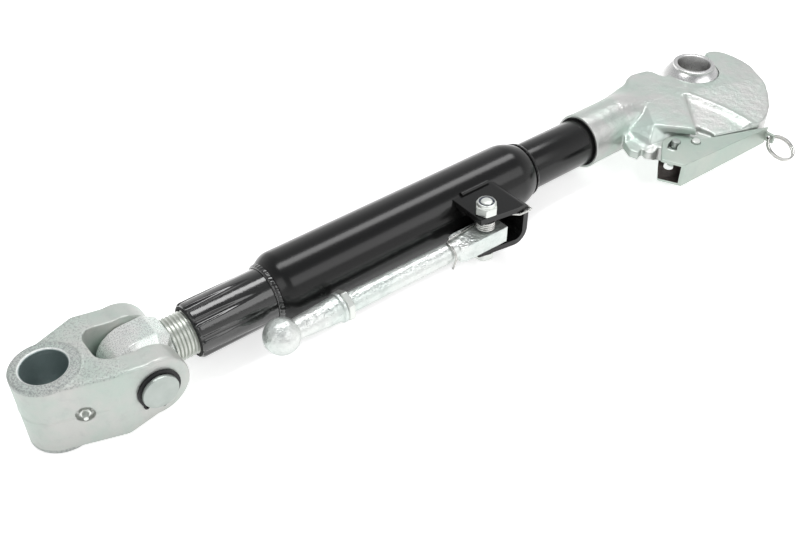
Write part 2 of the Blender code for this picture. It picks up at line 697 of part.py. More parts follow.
# Spindle screwed into the knuckle end of the tube
def build_knuckle_spindle():
    head = []
    head.extend(arc((EYE_TO_PIN, 0.0), HEAD_RADIUS, 90, 270, 14))
    head.extend([(HEAD_FLAT_X, -HEAD_RADIUS), (HEAD_NECK_X + GAP, -THREAD_RADIUS)])
    head.extend([(HEAD_NECK_X + GAP, THREAD_RADIUS), (HEAD_FLAT_X, HEAD_RADIUS)])
    ob = as_object("knuckle_spindle", sheet_mesh(
        "knuckle_spindle", head, -HEAD_HALF_WIDTH, HEAD_HALF_WIDTH, "XZ", True), ZINC_FORGED)
    bevel(ob, HEAD_EDGE, 1, 65.0)
    profile = [(0.0, -EYE_TO_PIN - PIN_RADIUS - GAP), (PLAIN_RADIUS, -EYE_TO_PIN - PIN_RADIUS - GAP)]
    profile.extend(thread_profile(-HEAD_NECK_X, THREAD_SHOWN_TURNS, THREAD_RADIUS,
                                  THREAD_ROOT_RADIUS, THREAD_PITCH, -LEFT_SPINDLE_END_X, SPINDLE_TIP))
    bar = turned("knuckle_spindle_bar", profile, STEPS_MEDIUM)
    bar.rotation_euler = (0.0, math.radians(-90), 0.0)
    boolean(ob, bar, "UNION")
    cut(ob, rod_mesh("spindle_pin_bore", (EYE_TO_PIN, 0.0, 0.0), (0, 1, 0), PIN_RADIUS + BORE_PLAY,
                     HEAD_HALF_WIDTH * 3, STEPS_MEDIUM))
    smooth(ob)
    return ob


def build_thread_wiper():
    low = LEFT_MOUTH_X - WIPER_PROUD
    high = LEFT_MOUTH_X + WIPER_WIDTH - GAP
    inner = THREAD_RADIUS + GAP
    profile = [(inner, high), (WIPER_RADIUS, high), (WIPER_RADIUS, low + WIPER_PROUD),
               (WIPER_RADIUS - WIPER_PROUD, low), (inner, low)]
    ob = turned("thread_wiper", profile, STEPS_MEDIUM, RUBBER)
    smooth(ob)
    return ob


# Threaded sleeves welded into the ends of the tube
def build_left_sleeve():
    end = TUBE_START_X + SLEEVE_SPIGOT
    seat = WIPER_RADIUS + GAP
    profile = [
        (SLEEVE_BORE_RADIUS, end), (SLEEVE_RADIUS, end),
        (SLEEVE_RADIUS, LEFT_MOUTH_X + SLEEVE_CHAMFER),
        (SLEEVE_RADIUS - SLEEVE_CHAMFER / 4, LEFT_MOUTH_X + SLEEVE_CHAMFER / 4),
        (SLEEVE_RADIUS - SLEEVE_CHAMFER / 2, LEFT_MOUTH_X), (seat, LEFT_MOUTH_X),
        (seat, LEFT_MOUTH_X + WIPER_WIDTH), (SLEEVE_BORE_RADIUS, LEFT_MOUTH_X + WIPER_WIDTH),
    ]
    ob = turned("left_thread_sleeve", profile, STEPS_LARGE + 12, BLACK_PAINT)
    tools = []
    start = LEFT_MOUTH_X - GROOVE_DEPTH
    for k in range(GROOVE_COUNT):
        angle = math.radians(360.0 * (k + 0.5) / GROOVE_COUNT)
        centre_in = SLEEVE_RADIUS - GROOVE_DEPTH + GROOVE_RADIUS
        centre_out = SLEEVE_RADIUS + GROOVE_RADIUS
        near = Vector((start, centre_in * math.cos(angle), centre_in * math.sin(angle)))
        far = Vector((LEFT_MOUTH_X + GROOVE_LENGTH, centre_out * math.cos(angle),
                      centre_out * math.sin(angle)))
        tools.append(rod_mesh("groove", (near + far) / 2, far - near, GROOVE_RADIUS,
                              (far - near).length, STEPS_SMALL))
    cut(ob, joined("sleeve_grooves", tools))
    smooth(ob, 30.0)
    return ob


def build_right_sleeve():
    start = TUBE_END_X - SLEEVE_SPIGOT
    end = RIGHT_SLEEVE_END_X
    edge = SLEEVE_CHAMFER / 4
    profile = [
        (SLEEVE_BORE_RADIUS, end), (RIGHT_SLEEVE_RADIUS - edge, end),
        (RIGHT_SLEEVE_RADIUS, end - edge), (RIGHT_SLEEVE_RADIUS, start), (SLEEVE_BORE_RADIUS, start),
    ]
    ob = turned("right_thread_sleeve", profile, STEPS_LARGE, BLACK_PAINT)
    smooth(ob)
    return ob


def build_tube():
    start = TUBE_START_X
    end = TUBE_END_X
    neck = TUBE_NECK_RADIUS
    rise = TUBE_RADIUS - neck
    inner = TUBE_RADIUS - TUBE_WALL
    fit = SLEEVE_RADIUS + GAP
    right_fit = RIGHT_SLEEVE_RADIUS + GAP
    shoulder_shares = ((0.0, 0.0), (0.12, 0.34), (0.34, 0.68), (0.64, 0.91), (1.0, 1.0))
    profile = [(right_fit, end)]
    for along, up in shoulder_shares:
        profile.append((neck + rise * up, end - TUBE_RIGHT_SHOULDER * along))
    for along, up in reversed(shoulder_shares):
        profile.append((neck + rise * up, start + TUBE_LEFT_SHOULDER * along))
    profile.extend([
        (fit, start), (fit, start + SLEEVE_SPIGOT + GAP), (inner, start + SLEEVE_SPIGOT + TUBE_WALL),
        (inner, end - SLEEVE_SPIGOT - TUBE_WALL), (right_fit, end - SLEEVE_SPIGOT - GAP),
    ])
    ob = turned("turnbuckle_tube", profile, STEPS_LARGE, BLACK_PAINT)
    smooth(ob)
    return ob


def build_weld_bead(name, face_x, direction, fit):
    """Fillet ring against the end face of the tube."""
    inner = fit + GAP
    near = face_x + direction * GAP
    far = face_x + direction * BEAD_WIDTH
    points = [(inner, near), (TUBE_NECK_RADIUS, near)]
    mid = (near + far) / 2
    points.extend([(BEAD_RADIUS - (BEAD_RADIUS - inner) / 4, (near + mid) / 2),
                   (inner + (BEAD_RADIUS - inner) / 2, mid), (inner + (BEAD_RADIUS - inner) / 6, far),
                   (inner, far)])
    if direction > 0:
        points.reverse()
    ob = turned(name, points, STEPS_MEDIUM, BLACK_WELD)
    smooth(ob, 60.0)
    return ob


# Handle: bent bracket, bolt, locknut, sprung lever with a lock nut and a ball grip
def bracket_section():
    t = BRACKET_THICKNESS
    left = BRACKET_LEFT_X
    right = BRACKET_RIGHT_X
    top = BRACKET_TOP_Z
    low = BRACKET_BOTTOM_Z
    outer_top = arc((right - BRACKET_TOP_BEND, top - BRACKET_TOP_BEND), BRACKET_TOP_BEND, 90, 0, 5)
    outer_low = arc((right - BRACKET_BOTTOM_BEND, low + BRACKET_BOTTOM_BEND),
                    BRACKET_BOTTOM_BEND, 0, -90, 7)
    inner_low = arc((right - BRACKET_BOTTOM_BEND, low + BRACKET_BOTTOM_BEND),
                    BRACKET_BOTTOM_BEND - t, -90, 0, 7)
    inner_top = arc((right - BRACKET_TOP_BEND, top - BRACKET_TOP_BEND), BRACKET_TOP_BEND - t, 0, 90, 5)
    section = [(left, top)] + outer_top + outer_low + [(left, low), (left, low + t)]
    return section + inner_low + inner_top + [(left, top - t)]


def build_bracket():
    ob = as_object("handle_bracket", sheet_mesh(
        "handle_bracket", bracket_section(), BRACKET_NEAR_Y, 0.0, "XZ"), BLACK_PAINT)
    cut(ob, rod_mesh("bracket_tube_seat", ((BRACKET_LEFT_X + BRACKET_RIGHT_X) / 2, 0.0, 0.0),
                     (1, 0, 0), TUBE_RADIUS + GAP, BRACKET_RIGHT_X, STEPS_LARGE * 2))
    wedge = [(BRACKET_LEFT_X - CUT_REACH, BRACKET_NEAR_Y - CUT_REACH),
             (BRACKET_TAPER_X, BRACKET_NEAR_Y - CUT_REACH), (BRACKET_TAPER_X, BRACKET_NEAR_Y),
             (BRACKET_LEFT_X, BRACKET_NEAR_Y + BRACKET_TAPER),
             (BRACKET_LEFT_X - CUT_REACH, BRACKET_NEAR_Y + BRACKET_TAPER)]
    cut(ob, sheet_mesh("bracket_taper", wedge, BRACKET_BOTTOM_Z * 2, BRACKET_TOP_Z * 2))
    cut(ob, rod_mesh("bracket_bolt_holes", (BOLT_X, BOLT_Y, 0.0), (0, 0, 1), BOLT_RADIUS + GAP,
                     BRACKET_TOP_Z * 4, STEPS_SMALL))
    bevel(ob, BRACKET_EDGE, 1, 50.0)
    smooth(ob, 30.0)
    return ob


def build_bracket_weld(name, level):
    """Fillet bead in the corner between a bracket plate and the tube."""
    reach = math.sqrt(TUBE_RADIUS ** 2 - level ** 2)
    side = 1.0 if level > 0 else -1.0
    middle = (BRACKET_LEFT_X + BRACKET_RIGHT_X) / 2
    centre = (middle, -reach - WELD_RADIUS / 4, level + side * WELD_RADIUS / 4)
    ob = as_object(name, rod_mesh(name, centre, (1, 0, 0), WELD_RADIUS, WELD_LENGTH, STEPS_SMALL),
                   BLACK_WELD)
    cut(ob, rod_mesh(name + "_tube", (middle, 0.0, 0.0), (1, 0, 0), TUBE_RADIUS + GAP,
                     WELD_LENGTH * 2, STEPS_LARGE * 2))
    floor = sorted((level + side * GAP, level - side * WELD_RADIUS * 4))
    cut(ob, box_mesh(name + "_plate", (middle - WELD_LENGTH, -TUBE_RADIUS * 2, floor[0]),
                     (middle + WELD_LENGTH, 0.0, floor[1])))
    smooth(ob, 50.0)
    return ob


def build_handle_bolt():
    top = BRACKET_TOP_Z + NUT_HEIGHT + BOLT_END_PROUD
    under = BRACKET_BOTTOM_Z - GAP
    length = top - under
    edge = BOLT_RADIUS / 8
    ob = as_object("handle_bolt", rod_mesh(
        "handle_bolt", (BOLT_X, BOLT_Y, under - BOLT_HEAD_HEIGHT / 2), (0, 0, 1), BOLT_HEAD_RADIUS,
        BOLT_HEAD_HEIGHT, 6, None, math.radians(15)), ZINC_SMOOTH)
    bevel(ob, BOLT_RADIUS / 10, 1, 50.0)
    profile = [(0.0, length), (BOLT_RADIUS - edge, length), (BOLT_RADIUS, length - edge),
               (BOLT_RADIUS, -BOLT_HEAD_HEIGHT / 2), (0.0, -BOLT_HEAD_HEIGHT / 2)]
    shank = turned("handle_bolt_shank", profile, STEPS_SMALL, None, "Z", (BOLT_X, BOLT_Y, under))
    boolean(ob, shank, "UNION")
    smooth(ob)
    return ob


def build_handle_nut():
    base = BRACKET_TOP_Z + GAP
    hex_height = NUT_HEIGHT - NUT_COLLAR_HEIGHT - GAP
    ob = as_object("handle_nut", rod_mesh(
        "handle_nut", (BOLT_X, BOLT_Y, base + hex_height / 2), (0, 0, 1), NUT_RADIUS, hex_height, 6,
        None, math.radians(20)), ZINC_SMOOTH)
    bevel(ob, BOLT_RADIUS / 12, 1, 50.0)
    collar = rod_mesh("nut_collar", (BOLT_X, BOLT_Y, base + NUT_HEIGHT / 2), (0, 0, 1),
                      NUT_COLLAR_RADIUS, NUT_HEIGHT - GAP, STEPS_MEDIUM)
    fuse(ob, collar)
    cut(ob, rod_mesh("nut_bore", (BOLT_X, BOLT_Y, base), (0, 0, 1), BOLT_RADIUS + GAP,
                     NUT_HEIGHT * 4, STEPS_SMALL))
    cut(ob, rod_mesh("nut_insert_seat", (BOLT_X, BOLT_Y, base + NUT_HEIGHT), (0, 0, 1),
                     NUT_INSERT_RADIUS + GAP, NUT_INSERT_HEIGHT * 2, STEPS_MEDIUM))
    smooth(ob)
    return ob


def build_nut_insert():
    top = BRACKET_TOP_Z + NUT_HEIGHT - GAP
    low = top - NUT_INSERT_HEIGHT + GAP * 3
    inner = BOLT_RADIUS + GAP
    profile = [(inner, top), (NUT_INSERT_RADIUS, top), (NUT_INSERT_RADIUS, low), (inner, low)]
    ob = turned("handle_nut_insert", profile, STEPS_MEDIUM, NYLON, "Z", (BOLT_X, BOLT_Y, 0.0))
    smooth(ob)
    return ob


def build_handle_lever():
    left = BOLT_X - LEVER_HEAD_LEFT
    right = BOLT_X + LEVER_HEAD_RIGHT
    narrow = LEVER_ROD_RADIUS
    swing = -BOLT_Y - TUBE_RADIUS - LEVER_TUBE_PLAY
    low_turn = math.degrees(math.acos(LEVER_HEAD_RIGHT / swing))
    high_turn = math.degrees(math.asin(LEVER_HALF_WIDTH / swing))
    plan = [(right, BOLT_Y - LEVER_HALF_WIDTH)]
    plan.extend(arc((BOLT_X, BOLT_Y), swing, low_turn, high_turn, 4))
    plan.extend([
        (left, BOLT_Y + LEVER_HALF_WIDTH), (left - LEVER_TAPER, BOLT_Y + narrow),
        (left - LEVER_TAPER, BOLT_Y - narrow), (left, BOLT_Y - LEVER_HALF_WIDTH),
    ])
    ob = as_object("handle_lever", sheet_mesh(
        "handle_lever", plan, LEVER_Z - LEVER_HALF_THICKNESS, LEVER_Z + LEVER_HALF_THICKNESS),
        ZINC_FORGED)
    bevel(ob, LEVER_EDGE, 2, 30.0)
    rod_end = LOCK_NUT_X + LOCK_NUT_WIDTH + GAP
    stub_end = LOCK_NUT_X - GRIP_SOCKET + GAP
    profile = [
        (0.0, left), (LEVER_ROD_RADIUS, left), (LEVER_ROD_RADIUS, rod_end),
        (GRIP_THREAD_RADIUS, rod_end), (GRIP_THREAD_RADIUS, stub_end), (0.0, stub_end),
    ]
    rod = turned("handle_lever_rod", profile, STEPS_SMALL, None, "X", (0.0, BOLT_Y, LEVER_Z))
    boolean(ob, rod, "UNION")
    cut(ob, rod_mesh("lever_bolt_bore", (BOLT_X, BOLT_Y, LEVER_Z), (0, 0, 1), BOLT_RADIUS + BORE_PLAY,
                     LEVER_HALF_THICKNESS * 4, STEPS_SMALL))
    smooth(ob)
    return ob


def build_lock_nut():
    middle = LOCK_NUT_X + LOCK_NUT_WIDTH / 2
    ob = as_object("handle_lock_nut", rod_mesh(
        "handle_lock_nut", (middle, BOLT_Y, LEVER_Z), (1, 0, 0), LOCK_NUT_RADIUS,
        LOCK_NUT_WIDTH - GAP, 6, None, math.radians(30)), ZINC_SMOOTH)
    bevel(ob, LOCK_NUT_RADIUS / 14, 1, 50.0)
    cut(ob, rod_mesh("lock_nut_bore", (middle, BOLT_Y, LEVER_Z), (1, 0, 0), GRIP_THREAD_RADIUS + GAP,
                     LOCK_NUT_WIDTH * 3, STEPS_SMALL))
    smooth(ob)
    return ob


def build_grip():
    start = LOCK_NUT_X - GAP
    join_angle = math.degrees(math.asin(GRIP_NECK_RADIUS / KNOB_RADIUS))
    socket = GRIP_THREAD_RADIUS + GAP
    edge = GRIP_RADIUS / 8
    collar_end = start - GRIP_COLLAR_WIDTH
    profile = [(socket, start), (GRIP_COLLAR_RADIUS - edge / 2, start),
               (GRIP_COLLAR_RADIUS, start - edge / 2), (GRIP_COLLAR_RADIUS, collar_end + edge / 2),
               (GRIP_COLLAR_RADIUS - edge / 2, collar_end), (GRIP_RADIUS, collar_end - edge / 4),
               (GRIP_NECK_RADIUS, KNOB_X + KNOB_RADIUS)]
    for k in range(11):
        angle = math.radians(join_angle + (180.0 - join_angle) * k / 10)
        profile.append((KNOB_RADIUS * math.sin(angle) if k < 10 else 0.0,
                        KNOB_X + KNOB_RADIUS * math.cos(angle)))
    bottom = LOCK_NUT_X - GRIP_SOCKET
    profile = [(0.0, bottom), (socket, bottom)] + profile
    ob = turned("handle_grip", profile, STEPS_MEDIUM, ZINC_SMOOTH, "X", (0.0, BOLT_Y, LEVER_Z))
    smooth(ob)
    return ob


def build_handle_spring():
    """Coil round the bolt: one leg hooks the bracket web, the other holds the lever in."""
    base = LEVER_Z + LEVER_HALF_THICKNESS + GAP + SPRING_WIRE
    count = int(SPRING_TURNS * SPRING_STEPS)
    start = math.radians(90.0)
    coil = []
    for k in range(count + 1):
        angle = start - 2 * math.pi * SPRING_TURNS * k / count
        height = base + SPRING_PITCH * SPRING_TURNS * k / count
        coil.append((BOLT_X + SPRING_RADIUS * math.cos(angle),
                     BOLT_Y + SPRING_RADIUS * math.sin(angle), height))
    top = coil[-1][2]
    wrap = LEVER_ROD_RADIUS + SPRING_WIRE + GAP * 2
    lever_leg = [(SPRING_LEG_X - SPRING_LEG_LEAN, BOLT_Y - wrap, LEVER_Z - SPRING_LEG_DROP)]
    for k in range(6):
        turn = math.radians(100.0 * k / 5)
        lever_leg.append((SPRING_LEG_X, BOLT_Y - wrap * math.cos(turn), LEVER_Z + wrap * math.sin(turn)))
    lever_leg.append((SPRING_LEG_X + SPRING_LEG_LEAN, BOLT_Y + SPRING_RADIUS / 2, LEVER_Z + wrap))
    lever_leg.append((BOLT_X - SPRING_RADIUS / 2, BOLT_Y + SPRING_RADIUS, base))
    web_x = BRACKET_RIGHT_X + SPRING_WIRE + GAP
    leg_y = BRACKET_NEAR_Y - SPRING_WIRE - GAP
    end_angle = start - 2 * math.pi * SPRING_TURNS
    away = Vector((math.sin(end_angle), -math.cos(end_angle)))
    reach = (coil[-1][1] - leg_y) / -away.y
    web_leg = [
        (coil[-1][0] + away.x * reach, leg_y, top),
        (web_x - SPRING_WIRE * 2, leg_y - SPRING_WIRE, top),
        (web_x, leg_y, top),
        (web_x, leg_y + SPRING_WIRE * 2, top),
        (web_x, leg_y + SPRING_HOOK * 2, top),
    ]
    ob = as_object("handle_torsion_spring", wire_mesh(
        "handle_torsion_spring", lever_leg + coil + web_leg, SPRING_WIRE), SPRING_STEEL)
    smooth(ob, 60.0)
    return ob


# Hook: forged body with skirt, ball seat, latch slot and ear
def shank_loft_mesh(name):
    """Solid that changes from the round skirt to the flat sides of the hook body."""
    count = STEPS_LARGE
    round_ring = []
    flat_ring = []
    half_y = (SHANK_FAR_Y - SHANK_NEAR_Y) / 2
    mid_y = (SHANK_FAR_Y + SHANK_NEAR_Y) / 2
    flat_z = HOOK_HALF_THICKNESS
    corner = SHANK_CORNER
    for k in range(count):
        angle = 2 * math.pi * (k + 0.5) / count
        cy = math.cos(angle)
        cz = math.sin(angle)
        round_ring.append((SKIRT_RADIUS * cy, SKIRT_RADIUS * cz))
        reach = min(half_y / abs(cy) if abs(cy) > 0 else half_y * count,
                    flat_z / abs(cz) if abs(cz) > 0 else half_y * count)
        py = reach * cy
        pz = reach * cz
        inner_y = half_y - corner
        inner_z = flat_z - corner
        if abs(py) > inner_y and abs(pz) > inner_z:
            off = Vector((abs(py) - inner_y, abs(pz) - inner_z))
            off = off.normalized() * corner
            py = math.copysign(inner_y + off.x, py)
            pz = math.copysign(inner_z + off.y, pz)
        flat_ring.append((mid_y + py, pz))
    stations = 6
    bm = bmesh.new()
    rings = []
    for s in range(stations + 1):
        share = s / stations
        blend = share * share * (3 - 2 * share)
        x = SHANK_LOFT_START_X + (SHANK_LOFT_END_X - SHANK_LOFT_START_X) * share
        ring = []
        for (ry, rz), (fy, fz) in zip(round_ring, flat_ring):
            ring.append(bm.verts.new((x, ry + (fy - ry) * blend, rz + (fz - rz) * blend)))
        rings.append(ring)
    for low, high in zip(rings, rings[1:]):
        for k in range(count):
            n = (k + 1) % count
            bm.faces.new((low[k], low[n], high[n], high[k]))
    bm.faces.new(rings[0])
    bm.faces.new(rings[-1])
    bmesh.ops.recalc_face_normals(bm, faces=bm.faces)
    mesh = bpy.data.meshes.new(name)
    bm.to_mesh(mesh)
    bm.free()
    return mesh


def sloped_cut(ob, name, shares, side, step):
    """Take a sloping face off one side of the hook: it falls away from the ball."""
    way = Vector(FALL_WAY_SHARE).normalized()
    start = Vector(hook_points((FALL_START_SHARE,))[0])
    mesh = sheet_mesh(name, hook_points(shares), 0.0, CUT_REACH)
    for vert in mesh.vertices:
        run = (vert.co.xy - start).dot(way)
        level = HOOK_HALF_THICKNESS - step - PANEL_FALL * run / PANEL_FALL_RUN
        vert.co.z = side * (level if vert.co.z < CUT_REACH / 2 else HOOK_HALF_THICKNESS + CUT_REACH)
    if side < 0:
        mesh.flip_normals()
    cut(ob, mesh)


def gusset_mesh(name):
    """Faceted web under the shank: narrow at both faces of the body, wide at the ear."""
    edge = hook_points(GUSSET_EDGE_SHARES)
    foot = hook_points(GUSSET_FOOT_SHARES)
    levels = ((edge, -HOOK_HALF_THICKNESS + GAP), (foot, -EAR_HALF_THICKNESS + GAP),
              (foot, EAR_HALF_THICKNESS - GAP), (edge, HOOK_HALF_THICKNESS - GAP))
    bm = bmesh.new()
    rings = [[bm.verts.new((x, y, z)) for x, y in outline] for outline, z in levels]
    count = len(edge)
    for low, high in zip(rings, rings[1:]):
        for k in range(count):
            n = (k + 1) % count
            bm.faces.new((low[k], low[n], high[n], high[k]))
    bm.faces.new(rings[0])
    bm.faces.new(rings[-1])
    bmesh.ops.triangulate(bm, faces=bm.faces)
    bmesh.ops.recalc_face_normals(bm, faces=bm.faces)
    mesh = bpy.data.meshes.new(name)
    bm.to_mesh(mesh)
    bm.free()
    return mesh


def build_hook_body():
    plate = sheet_mesh("hook_body", hook_points(HOOK_OUTLINE_SHARES),
                       -HOOK_HALF_THICKNESS, HOOK_HALF_THICKNESS)
    ob = as_object("hook_body", plate, ZINC_FORGED)
    bevel(ob, HOOK_EDGE, 2, 28.0)
    for side, mark in ((1.0, "top"), (-1.0, "bottom")):
        sloped_cut(ob, "fall_" + mark, FALL_OUTLINE_SHARES, side, 0.0)
        sloped_cut(ob, "panel_" + mark, PANEL_OUTLINE_SHARES, side, PANEL_STEP)
        levels = sorted((side * (EAR_HALF_THICKNESS - GAP),
                         side * (CHANNEL_LEFT_HALF + BORE_PLAY * 2)))
        cut(ob, sheet_mesh("flange_pocket_" + mark, hook_points(FLANGE_POCKET_SHARES), *levels))
    ear = as_object("hook_ear", sheet_mesh("hook_ear", hook_points(EAR_OUTLINE_SHARES),
                                           -EAR_HALF_THICKNESS, EAR_HALF_THICKNESS))
    boolean(ob, ear, "UNION")
    fuse(ob, gusset_mesh("hook_gusset"))
    fuse(ob, shank_loft_mesh("hook_shank"))
    fuse(ob, rod_mesh("stop_boss", (EYE_TO_BALL + STOP_BOSS_X, STOP_BOSS_Y, 0.0), (0, 0, 1),
                      STOP_BOSS_RADIUS, STOP_BOSS_HALF * 2, STEPS_SMALL))
    skirt_profile = [
        (0.0, SKIRT_END_X), (SKIRT_RADIUS - GAP, SKIRT_END_X),
        (SKIRT_RADIUS - GAP, SKIRT_MOUTH_X + SEAL_PROUD),
        (SKIRT_RADIUS - SEAL_PROUD / 2, SKIRT_MOUTH_X), (0.0, SKIRT_MOUTH_X),
    ]
    skirt = turned("hook_skirt", skirt_profile, STEPS_LARGE)
    boolean(ob, skirt, "UNION")
    bore_profile = [
        (0.0, SKIRT_BORE_END_X + HOOK_SPINDLE_SOCKET),
        (PLAIN_RADIUS + GAP, SKIRT_BORE_END_X + HOOK_SPINDLE_SOCKET),
        (PLAIN_RADIUS + GAP, SKIRT_BORE_END_X),
        (SKIRT_BORE_RADIUS, SKIRT_BORE_END_X), (SKIRT_BORE_RADIUS, SKIRT_MOUTH_X + SEAL_WIDTH),
        (SEAL_SEAT_RADIUS, SKIRT_MOUTH_X + SEAL_WIDTH), (SEAL_SEAT_RADIUS, SKIRT_MOUTH_X - CUT_REACH),
        (0.0, SKIRT_MOUTH_X - CUT_REACH),
    ]
    bore = turned("skirt_bore", bore_profile, STEPS_LARGE)
    boolean(ob, bore, "DIFFERENCE")
    seat = BALL_RADIUS + BALL_SEAT_PLAY
    mouth_profile = [(0.0, MOUTH_REACH), (seat, MOUTH_REACH), (seat, 0.0)]
    for k in range(1, 13):
        angle = math.radians(90.0 * k / 12)
        mouth_profile.append((seat * math.cos(angle) if k < 12 else 0.0, -seat * math.sin(angle)))
    mouth = turned("ball_mouth", mouth_profile, STEPS_LARGE, None, "Z", (EYE_TO_BALL, 0.0, 0.0))
    mouth.rotation_euler = (math.radians(-90), 0.0, 0.0)
    boolean(ob, mouth, "DIFFERENCE")
    slot_half = PAWL_HALF_THICKNESS + PAWL_SLOT_PLAY
    cut(ob, sheet_mesh("pawl_slot", hook_points(PAWL_SLOT_SHARES), -slot_half, slot_half))
    spring_middle = EYE_TO_BALL + LATCH_SPRING_X - LATCH_SPRING_LENGTH / 2
    cut(ob, rod_mesh("latch_spring_pocket", (spring_middle, LATCH_SPRING_Y, 0.0), (1, 0, 0),
                     LATCH_POCKET_RADIUS, LATCH_SPRING_LENGTH + GAP * 2, STEPS_SMALL))
    pin_low = -HOOK_HALF_THICKNESS - CUT_REACH
    cut(ob, rod_mesh("pawl_pin_hole", (EYE_TO_BALL + PAWL_PIVOT_X, PAWL_PIVOT_Y,
                                       (pin_low + PAWL_PIN_TOP_Z + GAP) / 2), (0, 0, 1),
                     PAWL_PIVOT_RADIUS + GAP, PAWL_PIN_TOP_Z + GAP - pin_low, STEPS_SMALL))
    cut(ob, rod_mesh("guide_pin_hole", (EYE_TO_BALL + GUIDE_PIN_X, GUIDE_PIN_Y, 0.0), (0, 0, 1),
                     GUIDE_PIN_RADIUS + GAP, HOOK_HALF_THICKNESS * 3, STEPS_SMALL))
    smooth(ob, 32.0)
    return ob


def build_hook_spindle():
    end = SKIRT_BORE_END_X + HOOK_SPINDLE_SOCKET - GAP
    profile = [(0.0, end), (PLAIN_RADIUS, end)]
    profile.extend(thread_profile(SKIRT_BORE_END_X - GAP * 2, HOOK_THREAD_SHOWN_TURNS, THREAD_RADIUS,
                                  THREAD_ROOT_RADIUS, THREAD_PITCH, HOOK_SPINDLE_START_X, SPINDLE_TIP))
    ob = turned("hook_spindle", profile, STEPS_MEDIUM, ZINC_SMOOTH)
    smooth(ob)
    return ob


def build_skirt_seal():
    low = SKIRT_MOUTH_X - SEAL_PROUD
    high = SKIRT_MOUTH_X + SEAL_WIDTH - GAP
    outer = SEAL_SEAT_RADIUS - GAP
    inner = RIGHT_SLEEVE_RADIUS + GAP
    profile = [(inner, high), (outer, high), (outer, low + SEAL_PROUD), (outer - SEAL_PROUD, low),
               (inner, low)]
    ob = turned("skirt_seal", profile, STEPS_LARGE, RUBBER)
    smooth(ob)
    return ob


def build_guide_ball():
    shoulder = math.sqrt(BALL_RADIUS ** 2 - BALL_COLLAR_RADIUS ** 2)
    lift = math.degrees(math.asin(shoulder / BALL_RADIUS))
    edge = BALL_COLLAR_EDGE
    profile = [(BALL_BORE_RADIUS + edge, BALL_HALF_WIDTH),
               (BALL_COLLAR_RADIUS - edge, BALL_HALF_WIDTH),
               (BALL_COLLAR_RADIUS, BALL_HALF_WIDTH - edge)]
    for k in range(13):
        angle = math.radians(lift - 2 * lift * k / 12)
        profile.append((BALL_RADIUS * math.cos(angle), BALL_RADIUS * math.sin(angle)))
    profile.extend([(BALL_COLLAR_RADIUS, edge - BALL_HALF_WIDTH),
                    (BALL_COLLAR_RADIUS - edge, -BALL_HALF_WIDTH),
                    (BALL_BORE_RADIUS + edge, -BALL_HALF_WIDTH),
                    (BALL_BORE_RADIUS, edge - BALL_HALF_WIDTH),
                    (BALL_BORE_RADIUS, BALL_HALF_WIDTH - edge)])
    ob = turned("guide_ball", profile, STEPS_LARGE, BALL_STEEL, "Z", (EYE_TO_BALL, 0.0, 0.0))
    smooth(ob)
    return ob


# Latch inside the hook
def build_pawl():
    ob = as_object("latch_pawl", sheet_mesh("latch_pawl", hook_points(PAWL_OUTLINE_SHARES),
                                            -PAWL_HALF_THICKNESS, PAWL_HALF_THICKNESS), ZINC_SMOOTH)
    cut(ob, rod_mesh("pawl_pivot_bore", (EYE_TO_BALL + PAWL_PIVOT_X, PAWL_PIVOT_Y, 0.0), (0, 0, 1),
                     PAWL_PIVOT_RADIUS + BORE_PLAY, HOOK_HALF_THICKNESS * 3, STEPS_SMALL))
    cut(ob, rod_mesh("pawl_link_bore", (EYE_TO_BALL + LINK_PIN_X, LINK_PIN_Y, 0.0), (0, 0, 1),
                     LINK_PIN_RADIUS + GAP, HOOK_HALF_THICKNESS * 3, STEPS_SMALL))
    smooth(ob)
    return ob


def dished_pin(name, x, y, radius):
    """Pin through the release lever with a shallow dish in its upper end."""
    dish = radius / 2
    top = channel_half(x) + PIN_HEAD_PROUD
    low = -top
    profile = [(0.0, top - PIN_DIMPLE), (dish, top), (radius - PIN_DIMPLE, top),
               (radius, top - PIN_DIMPLE), (radius, low), (0.0, low)]
    ob = turned(name, profile, STEPS_SMALL, ZINC_SMOOTH, "Z", (EYE_TO_BALL + x, y, 0.0))
    smooth(ob)
    return ob


def build_pawl_pin():
    low = -HOOK_HALF_THICKNESS
    profile = [(0.0, PAWL_PIN_TOP_Z), (PAWL_PIVOT_RADIUS, PAWL_PIN_TOP_Z), (PAWL_PIVOT_RADIUS, low),
               (0.0, low)]
    ob = turned("pawl_pivot_pin", profile, STEPS_SMALL, ZINC_SMOOTH, "Z",
                (EYE_TO_BALL + PAWL_PIVOT_X, PAWL_PIVOT_Y, 0.0))
    smooth(ob)
    return ob


def build_latch_spring():
    count = LATCH_SPRING_TURNS * 8
    points = []
    length = LATCH_SPRING_LENGTH - LATCH_SPRING_WIRE * 2 - GAP * 2
    start = EYE_TO_BALL + LATCH_SPRING_X - GAP - LATCH_SPRING_WIRE
    for k in range(count + 1):
        angle = 2 * math.pi * LATCH_SPRING_TURNS * k / count
        points.append((start - length * k / count, LATCH_SPRING_Y + LATCH_SPRING_RADIUS * math.cos(angle),
                       LATCH_SPRING_RADIUS * math.sin(angle)))
    ob = as_object("latch_spring", wire_mesh("latch_spring", points, LATCH_SPRING_WIRE), SPRING_STEEL)
    smooth(ob, 60.0)
    return ob


